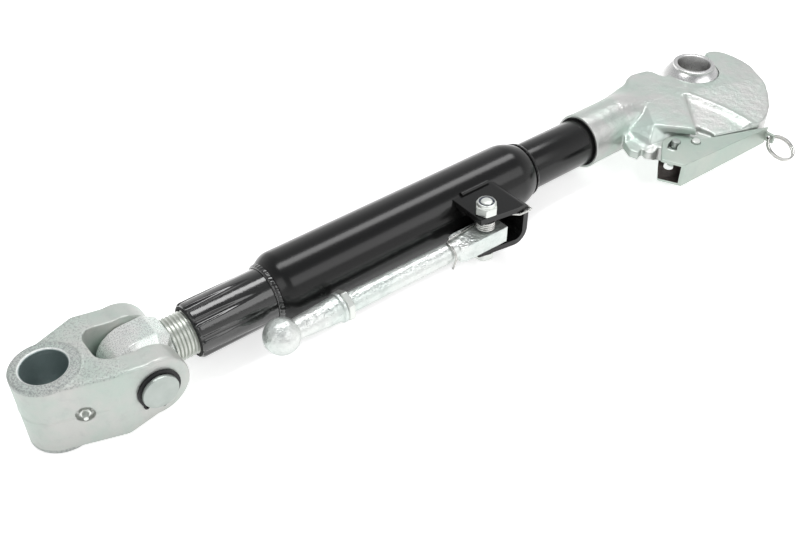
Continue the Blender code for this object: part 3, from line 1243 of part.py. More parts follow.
def guide_pin_path():
    """Places of the fixed guide pin seen from the release lever as it is pulled."""
    pivot = (PAWL_PIVOT_X, PAWL_PIVOT_Y)
    link = (LINK_PIN_X, LINK_PIN_Y)
    guide = (GUIDE_PIN_X, GUIDE_PIN_Y)
    places = []
    for k in range(LEVER_SLOT_STEPS + 1):
        share = k / LEVER_SLOT_STEPS
        moved = about(link, pivot, PAWL_TURN * share)
        seen = about(guide, moved, LEVER_TURN * share)
        places.append((seen[0] - moved[0] + link[0], seen[1] - moved[1] + link[1]))
    return places


def slot_outline():
    """Outline of constant width round the path of the guide pin."""
    path = guide_pin_path()
    radius = GUIDE_PIN_RADIUS + BORE_PLAY
    left_side = []
    right_side = []
    for k, place in enumerate(path):
        before = path[max(k - 1, 0)]
        after = path[min(k + 1, len(path) - 1)]
        way = Vector((after[0] - before[0], after[1] - before[1])).normalized()
        left_side.append((place[0] - way.y * radius, place[1] + way.x * radius))
        right_side.append((place[0] + way.y * radius, place[1] - way.x * radius))
    first = Vector((path[0][0] - path[1][0], path[0][1] - path[1][1]))
    last = Vector((path[-1][0] - path[-2][0], path[-1][1] - path[-2][1]))
    start_turn = math.degrees(math.atan2(first.y, first.x))
    end_turn = math.degrees(math.atan2(last.y, last.x))
    cap_start = arc(path[0], radius, start_turn - 90, start_turn + 90, 8)[1:-1]
    cap_end = arc(path[-1], radius, end_turn - 90, end_turn + 90, 8)[1:-1]
    outline = right_side + cap_end + list(reversed(left_side)) + cap_start
    return [(EYE_TO_BALL + x, y) for x, y in outline]


def channel_half(x):
    """Half height of the release lever at a place along it, x from the ball centre."""
    left_x = FLANGE_OUTLINE_SHARES[-1][0] * HOOK_REACH
    right_x = FLANGE_OUTLINE_SHARES[2][0] * HOOK_REACH
    share = (x - left_x) / (right_x - left_x)
    return CHANNEL_LEFT_HALF + (CHANNEL_RIGHT_HALF - CHANNEL_LEFT_HALF) * share


def tapered_sheet(name, outline, inset):
    """Plate whose two faces close towards the ring end of the release lever."""
    mesh = sheet_mesh(name, outline, -CHANNEL_LEFT_HALF, CHANNEL_LEFT_HALF)
    for vert in mesh.vertices:
        vert.co.z = math.copysign(channel_half(vert.co.x - EYE_TO_BALL) - inset, vert.co.z)
    return mesh


def build_release_lever():
    outline = hook_points(FLANGE_OUTLINE_SHARES)
    ob = as_object("release_lever", tapered_sheet("release_lever", outline, 0.0), ZINC_SMOOTH)
    bevel(ob, CHANNEL_EDGE, 2, 40.0)
    (left_x, left_y), (right_x, right_y) = outline[0], outline[1]
    way = Vector((right_x - left_x, right_y - left_y)).normalized()
    inward = Vector((-way.y, way.x)) * CHANNEL_THICKNESS
    hollow = [
        (left_x - way.x * CUT_REACH + inward.x, left_y - way.y * CUT_REACH + inward.y),
        (right_x + inward.x - way.x * CHANNEL_THICKNESS, right_y + inward.y - way.y * CHANNEL_THICKNESS),
        (right_x + inward.x - way.x * CHANNEL_THICKNESS, 0.0),
        (left_x - way.x * CUT_REACH, 0.0),
    ]
    cut(ob, tapered_sheet("channel_room", hollow, CHANNEL_THICKNESS))
    cut(ob, sheet_mesh("guide_pin_slot", slot_outline(), -CHANNEL_LEFT_HALF * 2,
                       CHANNEL_LEFT_HALF * 2))
    cut(ob, rod_mesh("lever_link_bore", (EYE_TO_BALL + LINK_PIN_X, LINK_PIN_Y, 0.0), (0, 0, 1),
                     LINK_PIN_RADIUS + BORE_PLAY, CHANNEL_LEFT_HALF * 4, STEPS_SMALL))
    tab_x = EYE_TO_BALL + TAB_X
    fuse(ob, box_mesh("ring_tab", (tab_x - CHANNEL_THICKNESS, TAB_Y - TAB_REACH, -TAB_HALF_HEIGHT),
                      (tab_x, TAB_Y + CHANNEL_THICKNESS / 2, TAB_HALF_HEIGHT)))
    hole = ring_hole()
    cut(ob, rod_mesh("ring_hole", hole, (1, 0, 0), TAB_HOLE_RADIUS, CHANNEL_THICKNESS * 4, STEPS_SMALL))
    smooth(ob)
    return ob


def ring_hole():
    return Vector((EYE_TO_BALL + TAB_X - CHANNEL_THICKNESS / 2, TAB_Y - TAB_REACH + TAB_HOLE_INSET, 0.0))


def build_pull_ring():
    hole = ring_hole()
    droop = math.radians(RING_DROOP)
    along = Vector((0.0, -math.cos(droop), -math.sin(droop)))
    across = Vector((1.0, 0.0, 0.0))
    seat = TAB_HOLE_RADIUS - RING_WIRE - GAP
    centre = hole + along * (RING_RADIUS + seat)
    points = []
    steps = 28
    for k in range(steps):
        angle = 2 * math.pi * k / steps
        points.append(centre - along * (RING_RADIUS * math.cos(angle))
                      + across * (RING_RADIUS * math.sin(angle)))
    ob = as_object("pull_ring", wire_mesh("pull_ring", points, RING_WIRE, True), SPRING_STEEL)
    smooth(ob, 60.0)
    return ob


def family(ob):
    """A part together with every cutter that shapes it."""
    found = [ob]
    for step in ob.modifiers:
        if step.type == "BOOLEAN":
            found.extend(family(step.object))
    return found


def hang_on_axis(root, name, place, members, yaw=0.0):
    """Empty on a joint axis that carries one moving body."""
    axis = bpy.data.objects.new(name, None)
    PARTS.objects.link(axis)
    axis.location = place
    axis.rotation_euler = (0.0, 0.0, math.radians(yaw))
    axis.parent = root
    for member in members:
        for ob in family(member):
            ob.parent = axis
            ob.matrix_parent_inverse = Matrix.Translation(-Vector(place))
    return axis


def place_on_floor(root):
    """Shift the whole link so that the middle of its foot is at the frame origin."""
    bpy.context.view_layer.update()
    graph = bpy.context.evaluated_depsgraph_get()
    low = Vector((math.inf, math.inf, math.inf))
    high = -low
    for ob in PARTS.objects:
        if ob.type != "MESH":
            continue
        shape = ob.evaluated_get(graph)
        for vert in shape.data.vertices:
            spot = shape.matrix_world @ vert.co
            low = Vector(map(min, low, spot))
            high = Vector(map(max, high, spot))
    root.location = (-(low.x + high.x) / 2, -(low.y + high.y) / 2, -low.z)


def main():
    root = bpy.data.objects.new("link_frame", None)
    PARTS.objects.link(root)
    pawl_x = EYE_TO_BALL + PAWL_PIVOT_X
    link_x = EYE_TO_BALL + LINK_PIN_X
    hang_on_axis(root, "hook_axis", (EYE_TO_BALL, 0.0, 0.0), [
        build_hook_body(), build_hook_spindle(), build_pawl_pin(), build_latch_spring(),
        dished_pin("lever_guide_pin", GUIDE_PIN_X, GUIDE_PIN_Y, GUIDE_PIN_RADIUS)])
    hang_on_axis(root, "ball_axis", (EYE_TO_BALL, 0.0, 0.0), [build_guide_ball()])
    hang_on_axis(root, "pawl_axis", (pawl_x, PAWL_PIVOT_Y, 0.0), [
        build_pawl(), dished_pin("lever_link_pin", LINK_PIN_X, LINK_PIN_Y, LINK_PIN_RADIUS)])
    hang_on_axis(root, "release_axis", (link_x, LINK_PIN_Y, 0.0), [build_release_lever()])
    hang_on_axis(root, "ring_axis", ring_hole(), [build_pull_ring()])
    hang_on_axis(root, "seal_turn_axis", (SKIRT_MOUTH_X, 0.0, 0.0), [build_skirt_seal()])
    hang_on_axis(root, "tube_axis", ((TUBE_START_X + TUBE_END_X) / 2, 0.0, 0.0), [
        build_tube(), build_left_sleeve(), build_right_sleeve(),
        build_weld_bead("left_weld_bead", TUBE_START_X, -1, SLEEVE_RADIUS),
        build_weld_bead("right_weld_bead", TUBE_END_X, 1, RIGHT_SLEEVE_RADIUS),
        build_bracket(),
        build_bracket_weld("bracket_weld_top", BRACKET_TOP_Z),
        build_bracket_weld("bracket_weld_bottom", BRACKET_BOTTOM_Z),
        build_handle_bolt(), build_handle_nut(), build_nut_insert(), build_handle_spring()])
    hang_on_axis(root, "handle_axis", (BOLT_X, BOLT_Y, LEVER_Z), [
        build_handle_lever(), build_lock_nut(), build_grip()], LEVER_YAW)
    hang_on_axis(root, "wiper_turn_axis", (LEFT_MOUTH_X, 0.0, 0.0), [build_thread_wiper()])
    hang_on_axis(root, "spindle_axis", (HEAD_NECK_X, 0.0, 0.0), [build_knuckle_spindle()])
    hang_on_axis(root, "knuckle_axis", (EYE_TO_PIN, 0.0, 0.0), [
        build_knuckle_fork(), build_knuckle_pin(), build_circlip("circlip_near", -1),
        build_circlip("circlip_far", 1), build_grease_nipple()])
    place_on_floor(root)


main()
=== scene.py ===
"""Looks of a tractor top link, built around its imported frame."""

import logging
import math
from contextlib import contextmanager
from dataclasses import dataclass
from enum import Enum
from typing import Callable, Iterable, Iterator, Sequence

import bpy
from mathutils import Matrix, Vector, noise


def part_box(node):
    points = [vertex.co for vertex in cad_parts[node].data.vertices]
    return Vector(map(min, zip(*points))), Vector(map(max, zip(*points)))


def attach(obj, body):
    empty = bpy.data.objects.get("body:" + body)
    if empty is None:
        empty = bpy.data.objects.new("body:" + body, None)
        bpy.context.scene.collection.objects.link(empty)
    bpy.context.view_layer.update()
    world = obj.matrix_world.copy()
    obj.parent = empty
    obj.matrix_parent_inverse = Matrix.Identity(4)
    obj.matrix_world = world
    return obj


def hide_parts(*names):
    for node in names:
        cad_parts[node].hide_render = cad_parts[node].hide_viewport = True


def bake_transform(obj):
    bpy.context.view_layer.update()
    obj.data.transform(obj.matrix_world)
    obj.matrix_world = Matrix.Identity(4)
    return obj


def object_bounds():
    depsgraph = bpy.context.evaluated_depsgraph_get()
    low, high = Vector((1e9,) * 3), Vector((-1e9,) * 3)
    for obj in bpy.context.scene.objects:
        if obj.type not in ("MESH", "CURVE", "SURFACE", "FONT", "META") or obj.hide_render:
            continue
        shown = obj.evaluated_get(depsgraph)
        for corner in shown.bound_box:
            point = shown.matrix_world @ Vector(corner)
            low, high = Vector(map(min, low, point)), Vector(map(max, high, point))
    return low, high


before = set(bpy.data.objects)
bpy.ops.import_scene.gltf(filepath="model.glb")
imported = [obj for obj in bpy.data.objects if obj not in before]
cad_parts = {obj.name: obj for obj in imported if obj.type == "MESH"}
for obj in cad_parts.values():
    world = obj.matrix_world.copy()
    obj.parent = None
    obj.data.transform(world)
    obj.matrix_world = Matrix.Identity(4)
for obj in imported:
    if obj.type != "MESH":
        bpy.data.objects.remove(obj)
CAD_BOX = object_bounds()

LOG = logging.getLogger("top_link")
Piece = bpy.types.Object
Socket = bpy.types.NodeSocket
Point = tuple[float, float, float]
Colour = tuple[float, float, float]
Pair = tuple[float, float]
Profile = Sequence[Pair]
Layers = Iterable[tuple[Socket, float, float]]
# Inner and outer radius of a ring, and its two ends along the link
Ring = tuple[float, float, float, float]

# Point of the frame where the screw axis crosses the axis of the knuckle eye
LINK_ORIGIN = Vector((-0.359875, 0.04695, 0.0325))
ZERO = (0.0, 0.0, 0.0)
MERGE = 1e-6
TURN_STEPS = 96


class Axis(Enum):
    """Direction that a turned piece's own axis has in the frame."""

    ALONG = (1.0, 0.0, 0.0)
    ACROSS = (0.0, 1.0, 0.0)
    UP = (0.0, 0.0, 1.0)

    @property
    def turn(self) -> Matrix:
        """Matrix that turns +Z to this direction."""
        return Vector((0.0, 0.0, 1.0)).rotation_difference(Vector(self.value)).to_matrix().to_4x4()


def at(x: float, y: float = 0.0, z: float = 0.0) -> Vector:
    """Place in the frame of a point that is given in link coordinates."""
    return LINK_ORIGIN + Vector((x, y, z))


def vertices_of(piece: Piece) -> Iterator[tuple[bpy.types.MeshVertex, Vector]]:
    """Gives every vertex of a piece with its link coordinates."""
    for vertex in piece.data.vertices:
        yield vertex, vertex.co - LINK_ORIGIN


# Modelling by hand
def clear_selection() -> None:
    """Leaves edit mode and selects nothing."""
    if bpy.context.mode != "OBJECT":
        bpy.ops.object.mode_set(mode="OBJECT")
    bpy.ops.object.select_all(action="DESELECT")


def select_only(piece: Piece) -> None:
    """Makes one piece the only selected and active one.

    Args:
        piece: The piece.
    """
    clear_selection()
    piece.select_set(True)
    bpy.context.view_layer.objects.active = piece


def just_added(name: str) -> Piece:
    """Names what was added last.

    Args:
        name: Name for the object and its data.

    Returns:
        The object.
    """
    piece = bpy.context.object
    piece.name = piece.data.name = name
    return piece


@contextmanager
def editing(piece: Piece) -> Iterator[None]:
    """Holds a piece in edit mode with all of it selected.

    Args:
        piece: The piece.

    Returns:
        The context, which goes back to object mode at its end.
    """
    select_only(piece)
    bpy.ops.object.mode_set(mode="EDIT")
    bpy.ops.mesh.select_all(action="SELECT")
    yield
    bpy.ops.object.mode_set(mode="OBJECT")


def modify(piece: Piece, kind: str, **settings: object) -> None:
    """Adds a modifier to a piece and applies it.

    Args:
        piece: The piece.
        kind: The modifier's type.
        settings: Values of the modifier's properties.
    """
    modifier = piece.modifiers.new(kind.lower(), kind)
    for key, value in settings.items():
        setattr(modifier, key, value)
    select_only(piece)
    bpy.ops.object.modifier_apply(modifier=modifier.name)


def combine(piece: Piece, tool: Piece, operation: str) -> None:
    """Joins, cuts or trims a piece with a closed tool, which is used up."""
    modify(piece, "BOOLEAN", operation=operation, solver="EXACT", object=tool)
    bpy.data.objects.remove(tool)


def seat(piece: Piece, place: Matrix) -> None:
    """Moves a piece to its place and leaves its object at the origin.

    Args:
        piece: The piece.
        place: Where it goes, with its turn.
    """
    select_only(piece)
    piece.matrix_world = place
    bpy.ops.object.transform_apply(location=True, rotation=True, scale=True)


def shade(piece: Piece, sharp: float) -> None:
    """Shades a piece smooth, except at edges sharper than an angle in degrees."""
    select_only(piece)
    bpy.ops.object.shade_smooth_by_angle(angle=math.radians(sharp))


def clean_shell(piece: Piece, sharp: float = 35.0) -> None:
    """Merges doubles, turns the faces outwards and shades the piece smooth.

    Args:
        piece: The closed shell.
        sharp: Angle in degrees above which an edge stays sharp.
    """
    with editing(piece):
        bpy.ops.mesh.remove_doubles(threshold=MERGE)
        bpy.ops.mesh.normals_make_consistent(inside=False)
    shade(piece, sharp)


def polyline(name: str, points: Sequence[Point]) -> Piece:
    """Draws an open line of edges, point after point.

    Args:
        name: Name of the new piece.
        points: The line's points in metres.

    Returns:
        The piece, in object mode and selected.
    """
    clear_selection()
    bpy.ops.mesh.primitive_plane_add(size=0.01, location=ZERO)
    piece = just_added(name)
    with editing(piece):
        bpy.ops.mesh.merge(type="CENTER")
        bpy.ops.transform.translate(value=points[0])
        for near, far in zip(points, points[1:]):
            step = Vector(far) - Vector(near)
            bpy.ops.mesh.extrude_region_move(TRANSFORM_OT_translate={"value": step})
    return piece


def turned(name: str, profile: Profile, axis: Axis, centre: Point = ZERO, sharp: float = 35.0,
           steps: int = TURN_STEPS) -> Piece:
    """Spins a profile into a piece turned on a lathe.

    Args:
        name: Name of the new piece.
        profile: Points of radius and height. A closed profile repeats its first point.
        axis: Direction of the piece's axis.
        centre: Link coordinates of the profile's origin.
        sharp: Angle in degrees above which an edge stays sharp.
        steps: Steps of the full turn.

    Returns:
        The finished piece.
    """
    piece = polyline(name, [(radius, 0.0, height) for radius, height in profile])
    with editing(piece):
        bpy.ops.mesh.spin(steps=steps, angle=math.tau, center=ZERO, axis=(0.0, 0.0, 1.0))
    seat(piece, Matrix.Translation(at(*centre)) @ axis.turn)
    clean_shell(piece, sharp)
    return piece


def soft_corner(radius: float, height: float, inward: float, down: float) -> list[Pair]:
    """Three points that round a profile's corner.

    Args:
        radius: Radius of the corner.
        height: Height of the corner.
        inward: How far the rounding reaches towards the axis, or outwards if negative.
        down: How far it reaches down, or up if negative.

    Returns:
        The points, from the one on the end face to the one on the wall.
    """
    return [(radius - inward, height), (radius - inward * 0.3, height - down * 0.3),
            (radius, height - down)]


def bisect(piece: Piece, place: float, side: float) -> None:
    """Cuts a piece across the link and closes the cut.

    Args:
        piece: The closed shell.
        place: Place of the cut along the link.
        side: 1.0 if what lies beyond the cut goes, -1.0 if what lies before it goes.
    """
    with editing(piece):
        bpy.ops.mesh.bisect(plane_co=at(place), plane_no=(side, 0.0, 0.0), use_fill=True,
                            clear_outer=True)


def from_node(name: str, node: str) -> Piece:
    """Copies a CAD node as the start of a finer piece, with its doubles merged.

    Args:
        name: Name of the new piece.
        node: The CAD node.

    Returns:
        The copy, with whole faces instead of loose triangles.
    """
    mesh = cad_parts[node].data.copy()
    mesh.name = name
    mesh.materials.clear()
    piece = bpy.data.objects.new(name, mesh)
    bpy.context.scene.collection.objects.link(piece)
    with editing(piece):
        bpy.ops.mesh.remove_doubles(threshold=MERGE * 5)
        bpy.ops.mesh.dissolve_limited(angle_limit=math.radians(0.5))
    return piece


@dataclass(frozen=True)
class Edges:
    """Rounding of edges: its width in metres, its rows of faces and the least angle in degrees."""

    width: float = 0.0004
    segments: int = 3
    above: float = 30.0

    def round_off(self, piece: Piece) -> None:
        """Rounds a piece's edges as a deburred part has them."""
        modify(piece, "BEVEL", width=self.width, segments=self.segments, limit_method="ANGLE",
               angle_limit=math.radians(self.above), miter_outer="MITER_ARC", use_clamp_overlap=True)


def deburred(name: str, node: str, edges: Edges) -> Piece:
    """A CAD node's shape with its edges rounded and its large faces shaded flat.

    Args:
        name: Name of the new piece.
        node: The CAD node.
        edges: Rounding of its edges.

    Returns:
        The finished piece.
    """
    piece = from_node(name, node)
    edges.round_off(piece)
    clean_shell(piece, edges.above + 8.0)
    modify(piece, "WEIGHTED_NORMAL", weight=100, keep_sharp=True)
    return piece


def grow_skin(piece: Piece, grain: float, rounds: int) -> None:
    """Gives a piece a skin of faces of a size, softened by rounds of smoothing."""
    modify(piece, "REMESH", mode="VOXEL", voxel_size=grain)
    modify(piece, "SMOOTH", factor=0.5, iterations=rounds)


def forged(name: str, node: str, grain: float, rounds: int) -> Piece:
    """A CAD node's shape with the soft edges that a forging die leaves.

    Args:
        name: Name of the new piece.
        node: The CAD node.
        grain: Size of the faces in metres.
        rounds: Rounds of smoothing over the edges.

    Returns:
        The finished piece.
    """
    piece = from_node(name, node)
    grow_skin(piece, grain, rounds)
    clean_shell(piece, 70.0)
    return piece


def away_from(point: Vector, line: Profile) -> float:
    """Distance in plan from a point to an open line.

    Args:
        point: The point.
        line: Corners of the line, in the point's own coordinates.

    Returns:
        The shortest distance in metres.
    """
    shortest = math.inf
    for near, far in zip(line, line[1:]):
        start, way = Vector(near), Vector(far) - Vector(near)
        share = (point.xy - start).dot(way) / way.length_squared
        foot = start + way * min(max(share, 0.0), 1.0)
        shortest = min(shortest, (point.xy - foot).length)
    return shortest


def melt(piece: Piece, share: Callable[[Vector], float], rounds: int) -> None:
    """Softens a piece in the places that a share names.

    Args:
        piece: The piece, with small even faces.
        share: Gives 0 to 1 from a point in link coordinates.
        rounds: Rounds of smoothing where the share is 1.
    """
    group = piece.vertex_groups.new(name="melt")
    for vertex, local in vertices_of(piece):
        weight = share(local)
        if weight > 0.0:
            group.add([vertex.index], min(weight, 1.0), "REPLACE")
    modify(piece, "SMOOTH", factor=0.5, iterations=rounds, vertex_group="melt")
    piece.vertex_groups.clear()


def true_bore(piece: Piece, centre: Point, axis: Axis, radius: float, reach: float,
              half: float) -> None:
    """Brings the wall of a machined bore back to its exact radius.

    Args:
        piece: The piece that the bore runs through.
        centre: Link coordinates of the bore's middle.
        axis: Direction of the bore.
        radius: Exact radius of the bore.
        reach: How far from the radius a point may lie to be moved.
        half: Half of the bore's length.
    """
    origin = at(*centre)
    direction = Vector(axis.value)
    for vertex in piece.data.vertices:
        away = vertex.co - origin
        height = away.dot(direction)
        spoke = away - direction * height
        if abs(height) <= half and abs(spoke.length - radius) < reach:
            vertex.co = origin + direction * height + spoke.normalized() * radius


def sink(vertex: bpy.types.MeshVertex, local: Vector, depth: float) -> None:
    """Moves a vertex towards the screw axis.

    Args:
        vertex: The vertex.
        local: Its link coordinates.
        depth: How far it moves.
    """
    radius = math.hypot(local.y, local.z)
    scale = (radius - depth) / radius
    vertex.co = at(local.x, local.y * scale, local.z * scale)


# Finishes
class Tree:
    """Small helper that lays out the nodes of a material or a world."""

    def __init__(self, owner: bpy.types.Material | bpy.types.World) -> None:
        """Starts on a node tree.

        Args:
            owner: Material or world that the tree belongs to.
        """
        self.owner = owner
        owner.use_nodes = True
        self.tree = owner.node_tree

    def add(self, kind: str, **values: object) -> bpy.types.Node:
        """Adds a node and sets its properties and sockets.

        Args:
            kind: The node's type.
            values: Properties of the node, or values of its input sockets.

        Returns:
            The node.
        """
        node = self.tree.nodes.new(kind)
        for key, value in values.items():
            if hasattr(node, key):
                setattr(node, key, value)
            else:
                node.inputs[key.replace("_", " ")].default_value = value
        return node

    def link(self, source: Socket, target: Socket) -> None:
        """Links an output to an input."""
        self.tree.links.new(source, target)

    def calc(self, operation: str, *inputs: Socket | float | Vector, kind: str = "Math") -> Socket:
        """Result of a math node.

        Args:
            operation: The node's operation.
            inputs: Sockets and constants in the order of the node's inputs.
            kind: "Math" or "VectorMath".

        Returns:
            The result's socket.
        """
        node = self.add(f"ShaderNode{kind}", operation=operation)
        for target, value in zip(node.inputs, inputs):
            if isinstance(value, Socket):
                self.link(value, target)
            else:
                target.default_value = value
        return node.outputs[1 if operation in ("LENGTH", "DISTANCE") else 0]

    def ramp(self, value: Socket, stops: Sequence[tuple[float, Colour]]) -> Socket:
        """Colours a value by a ramp of two stops.

        Args:
            value: The value socket.
            stops: Places and colours of the ramp.

        Returns:
            The colour socket.
        """
        node = self.add("ShaderNodeValToRGB")
        for element, (place, colour) in zip(node.color_ramp.elements, stops):
            element.position = place
            element.color = (*colour, 1.0)
        self.link(value, node.inputs["Fac"])
        return node.outputs["Color"]


class Nodes(Tree):
    """Nodes of one material, with its patterns over the piece."""

    def __init__(self, name: str) -> None:
        """Starts a material with its surface shader.

        Args:
            name: Name of the material.
        """
        super().__init__(bpy.data.materials.new(name))
        self.shader = self.tree.nodes["Principled BSDF"]
        self.place = self.add("ShaderNodeTexCoord").outputs["Object"]

    def set(self, **values: object) -> None:
        """Sets sockets of the surface shader."""
        for key, value in values.items():
            self.shader.inputs[key.replace("_", " ")].default_value = value

    def noise(self, scale: float, detail: float = 3.0, rough: float = 0.55) -> Socket:
        """A noise pattern over the piece.

        Args:
            scale: Waves per metre.
            detail: Number of finer layers.
            rough: Strength of the finer layers.

        Returns:
            The pattern's value socket.
        """
        node = self.add("ShaderNodeTexNoise", Scale=scale, Detail=detail, Roughness=rough)
        self.link(self.place, node.inputs["Vector"])
        return node.outputs["Fac"]

    def span(self, value: Socket, low: float, high: float, start: float = 0.3,
             end: float = 0.7) -> Socket:
        """Maps a value onto a range.

        Args:
            value: The value socket.
            low: Result at the start.
            high: Result at the end.
            start: Value that gives low.
            end: Value that gives high.

        Returns:
            The mapped value socket.
        """
        node = self.add("ShaderNodeMapRange")
        for index, number in enumerate((start, end, low, high), 1):
            node.inputs[index].default_value = number
        self.link(value, node.inputs[0])
        return node.outputs[0]

    def times(self, near: Socket, far: Socket) -> Socket:
        """Product of two values."""
        return self.calc("MULTIPLY", near, far)

    def beyond(self, level: float, soft: float) -> Socket:
        """A value that rises to 1 away from the link's middle plane.

        Args:
            level: Distance from the plane in metres at which it starts.
            soft: Distance over which it rises.

        Returns:
            The value socket.
        """
        split = self.add("ShaderNodeSeparateXYZ")
        self.link(self.place, split.inputs[0])
        height = self.calc("SUBTRACT", split.outputs["Z"], LINK_ORIGIN.z)
        return self.span(self.calc("ABSOLUTE", height), 0.0, 1.0, level, level + soft)

    def within(self, radius: float, soft: float) -> Socket:
        """A value that is 1 near the eye's upright axis and falls to 0 at a radius.

        Args:
            radius: Radius in metres at which it starts to fall.
            soft: Distance over which it falls.

        Returns:
            The value socket.
        """
        centred = self.calc("SUBTRACT", self.place, LINK_ORIGIN, kind="VectorMath")
        plan = self.calc("MULTIPLY", centred, (1.0, 1.0, 0.0), kind="VectorMath")
        length = self.calc("LENGTH", plan, kind="VectorMath")
        return self.span(length, 1.0, 0.0, radius, radius + soft)

    def around(self, point: Point, reach: float) -> Socket:
        """A value that is 1 at a point of the link and fades to 0 at a reach in metres."""
        away = self.calc("DISTANCE", self.place, at(*point), kind="VectorMath")
        return self.span(away, 1.0, 0.0, reach * 0.35, reach)

    def mix(self, share: Socket, near: Socket, far: Colour) -> Socket:
        """Mixes a colour into another by a share.

        Args:
            share: The share socket.
            near: Colour at a share of 0.
            far: Colour at a share of 1.

        Returns:
            The colour socket.
        """
        node = self.add("ShaderNodeMix", data_type="RGBA")
        self.link(share, node.inputs[0])
        self.link(near, node.inputs[6])
        node.inputs[7].default_value = (*far, 1.0)
        return node.outputs[2]

    def surface(self, colour: Socket, pattern: Socket, rough: Pair, metal: float,
                layers: Layers) -> bpy.types.Material:
        """Connects the surface shader.

        Args:
            colour: The base colour.
            pattern: Pattern that the roughness follows.
            rough: Roughness at the pattern's low and high end.
            metal: Share of metal.
            layers: Height socket, distance in metres and strength of each bump layer.

        Returns:
            The finished material.
        """
        self.link(colour, self.shader.inputs["Base Color"])
        self.link(self.span(pattern, *rough), self.shader.inputs["Roughness"])
        self.set(Metallic=metal)
        target = self.shader.inputs["Normal"]
        for height, distance, strength in reversed(list(layers)):
            node = self.add("ShaderNodeBump", Distance=distance, Strength=strength)
            self.link(height, node.inputs["Height"])
            self.link(node.outputs["Normal"], target)
            target = node.inputs["Normal"]
        return self.owner


@dataclass(frozen=True)
class ForgedZinc:
    """Zinc plating over a shot-blasted forging."""

    name: str
    warm: Colour
    cool: Colour
    grain: float
    metal: float
    skin_from: float
    rough: Pair
    relief: float
    bore: float = 0.0
    eye: float = 0.0
    tint: Point | None = None
    tint_reach: float = 0.026
    tinted: Colour = (0.60, 0.715, 0.66)
    stain: Colour = (0.40, 0.43, 0.42)
    pit: Colour = (0.25, 0.26, 0.26)
    blasted: Colour = (0.30, 0.32, 0.32)
    # The rim colour is a painted highlight round the bore's inner edge; the colour after it is painted
    # shade, dark teal, on the bore's wall.
    rim: Colour = (0.80, 0.83, 0.81)
    painted_bore_shade: Colour = (0.27, 0.34, 0.34)

    def machine_eye(self, nodes: Nodes, skin: Socket, grit: Socket, colour: Socket) -> Socket:
        """Greys the eye's raised ring with speckles, paints a highlight round the bore's inner edge and
        paints shade into the bore.

        Args:
            nodes: The material's nodes.
            skin: The value that is 1 on the blasted faces.
            grit: The grain's pattern.
            colour: The colour so far.

        Returns:
            The colour socket.
        """
        ring = nodes.times(skin, nodes.within(self.eye, 0.0005))
        speckle = nodes.span(grit, 0.75, 0.15, 0.42, 0.58)
        colour = nodes.mix(nodes.times(ring, speckle), colour, self.blasted)
        # Painted highlight: a pale ring round the bore's inner edge.
        colour = nodes.mix(nodes.within(self.bore + 0.0013, 0.0003), colour, self.rim)
        # Painted shade: a dark teal ring on the bore's wall.
        return nodes.mix(nodes.within(self.bore + 0.00025, 0.0003), colour, self.painted_bore_shade)

    def material(self) -> bpy.types.Material:
        """Builds the material.

        Returns:
            The material.
        """
        nodes = Nodes(self.name)
        clouds = nodes.noise(30.0, 4.0, 0.6)
        stains = nodes.noise(85.0, 5.0, 0.65)
        grit = nodes.noise(self.grain, 3.0, 0.6)
        lumps = nodes.noise(170.0, 3.0, 0.55)
        skin = nodes.beyond(self.skin_from, 0.0012)
        colour = nodes.ramp(clouds, [(0.36, self.cool), (0.62, self.warm)])
        colour = nodes.mix(nodes.span(stains, 0.0, 0.34, 0.52, 0.74), colour, self.stain)
        pits = nodes.times(skin, nodes.span(grit, 0.65, 0.0, 0.36, 0.50))
        colour = nodes.mix(pits, colour, self.pit)
        if self.bore:
            # The eye's speckled ring, with the painted highlight and painted shade round its bore.
            colour = self.machine_eye(nodes, skin, grit, colour)
        if self.tint:
            colour = nodes.mix(nodes.around(self.tint, self.tint_reach), colour, self.tinted)
        return nodes.surface(colour, grit, self.rough, self.metal, [
            (lumps, 0.0010, self.relief * 0.7), (grit, 0.00025, self.relief * 0.5),
            (nodes.times(skin, grit), 0.0009, self.relief)])


@dataclass(frozen=True)
class SmoothZinc:
    """Zinc plating over a machined or drawn surface."""

    name: str
    dark: Colour
    light: Colour
    rough: Pair
    metal: float
    relief: float = 0.22

    def material(self) -> bpy.types.Material:
        """Builds the material.

        Returns:
            The material.
        """
        nodes = Nodes(self.name)
        clouds = nodes.noise(70.0, 3.0, 0.55)
        specks = nodes.noise(1300.0, 2.0, 0.5)
        colour = nodes.ramp(clouds, [(0.32, self.dark), (0.66, self.light)])
        return nodes.surface(colour, specks, self.rough, self.metal,
                             [(clouds, 0.0006, self.relief), (specks, 0.0001, self.relief)])


@dataclass(frozen=True)
class BlackPaint:
    """Black paint with a slight orange peel."""

    name: str = "black_paint"
    base: Colour = (0.0088, 0.0088, 0.0083)
    dust: Colour = (0.030, 0.030, 0.0285)
    rough: Pair = (0.24, 0.36)
    peel: float = 0.14
    coat: float = 0.4

    def material(self) -> bpy.types.Material:
        """Builds the material.

        Returns:
            The material.
        """
        nodes = Nodes(self.name)
        clouds = nodes.noise(45.0, 5.0, 0.62)
        peel = nodes.noise(420.0, 2.0, 0.5)
        fine = nodes.noise(1600.0, 2.0, 0.5)
        colour = nodes.ramp(clouds, [(0.42, self.base), (0.80, self.dust)])
        nodes.set(Coat_Weight=self.coat, Coat_Roughness=0.14)
        return nodes.surface(colour, clouds, self.rough, 0.0,
                             [(peel, 0.0004, self.peel), (fine, 0.0001, self.peel)])


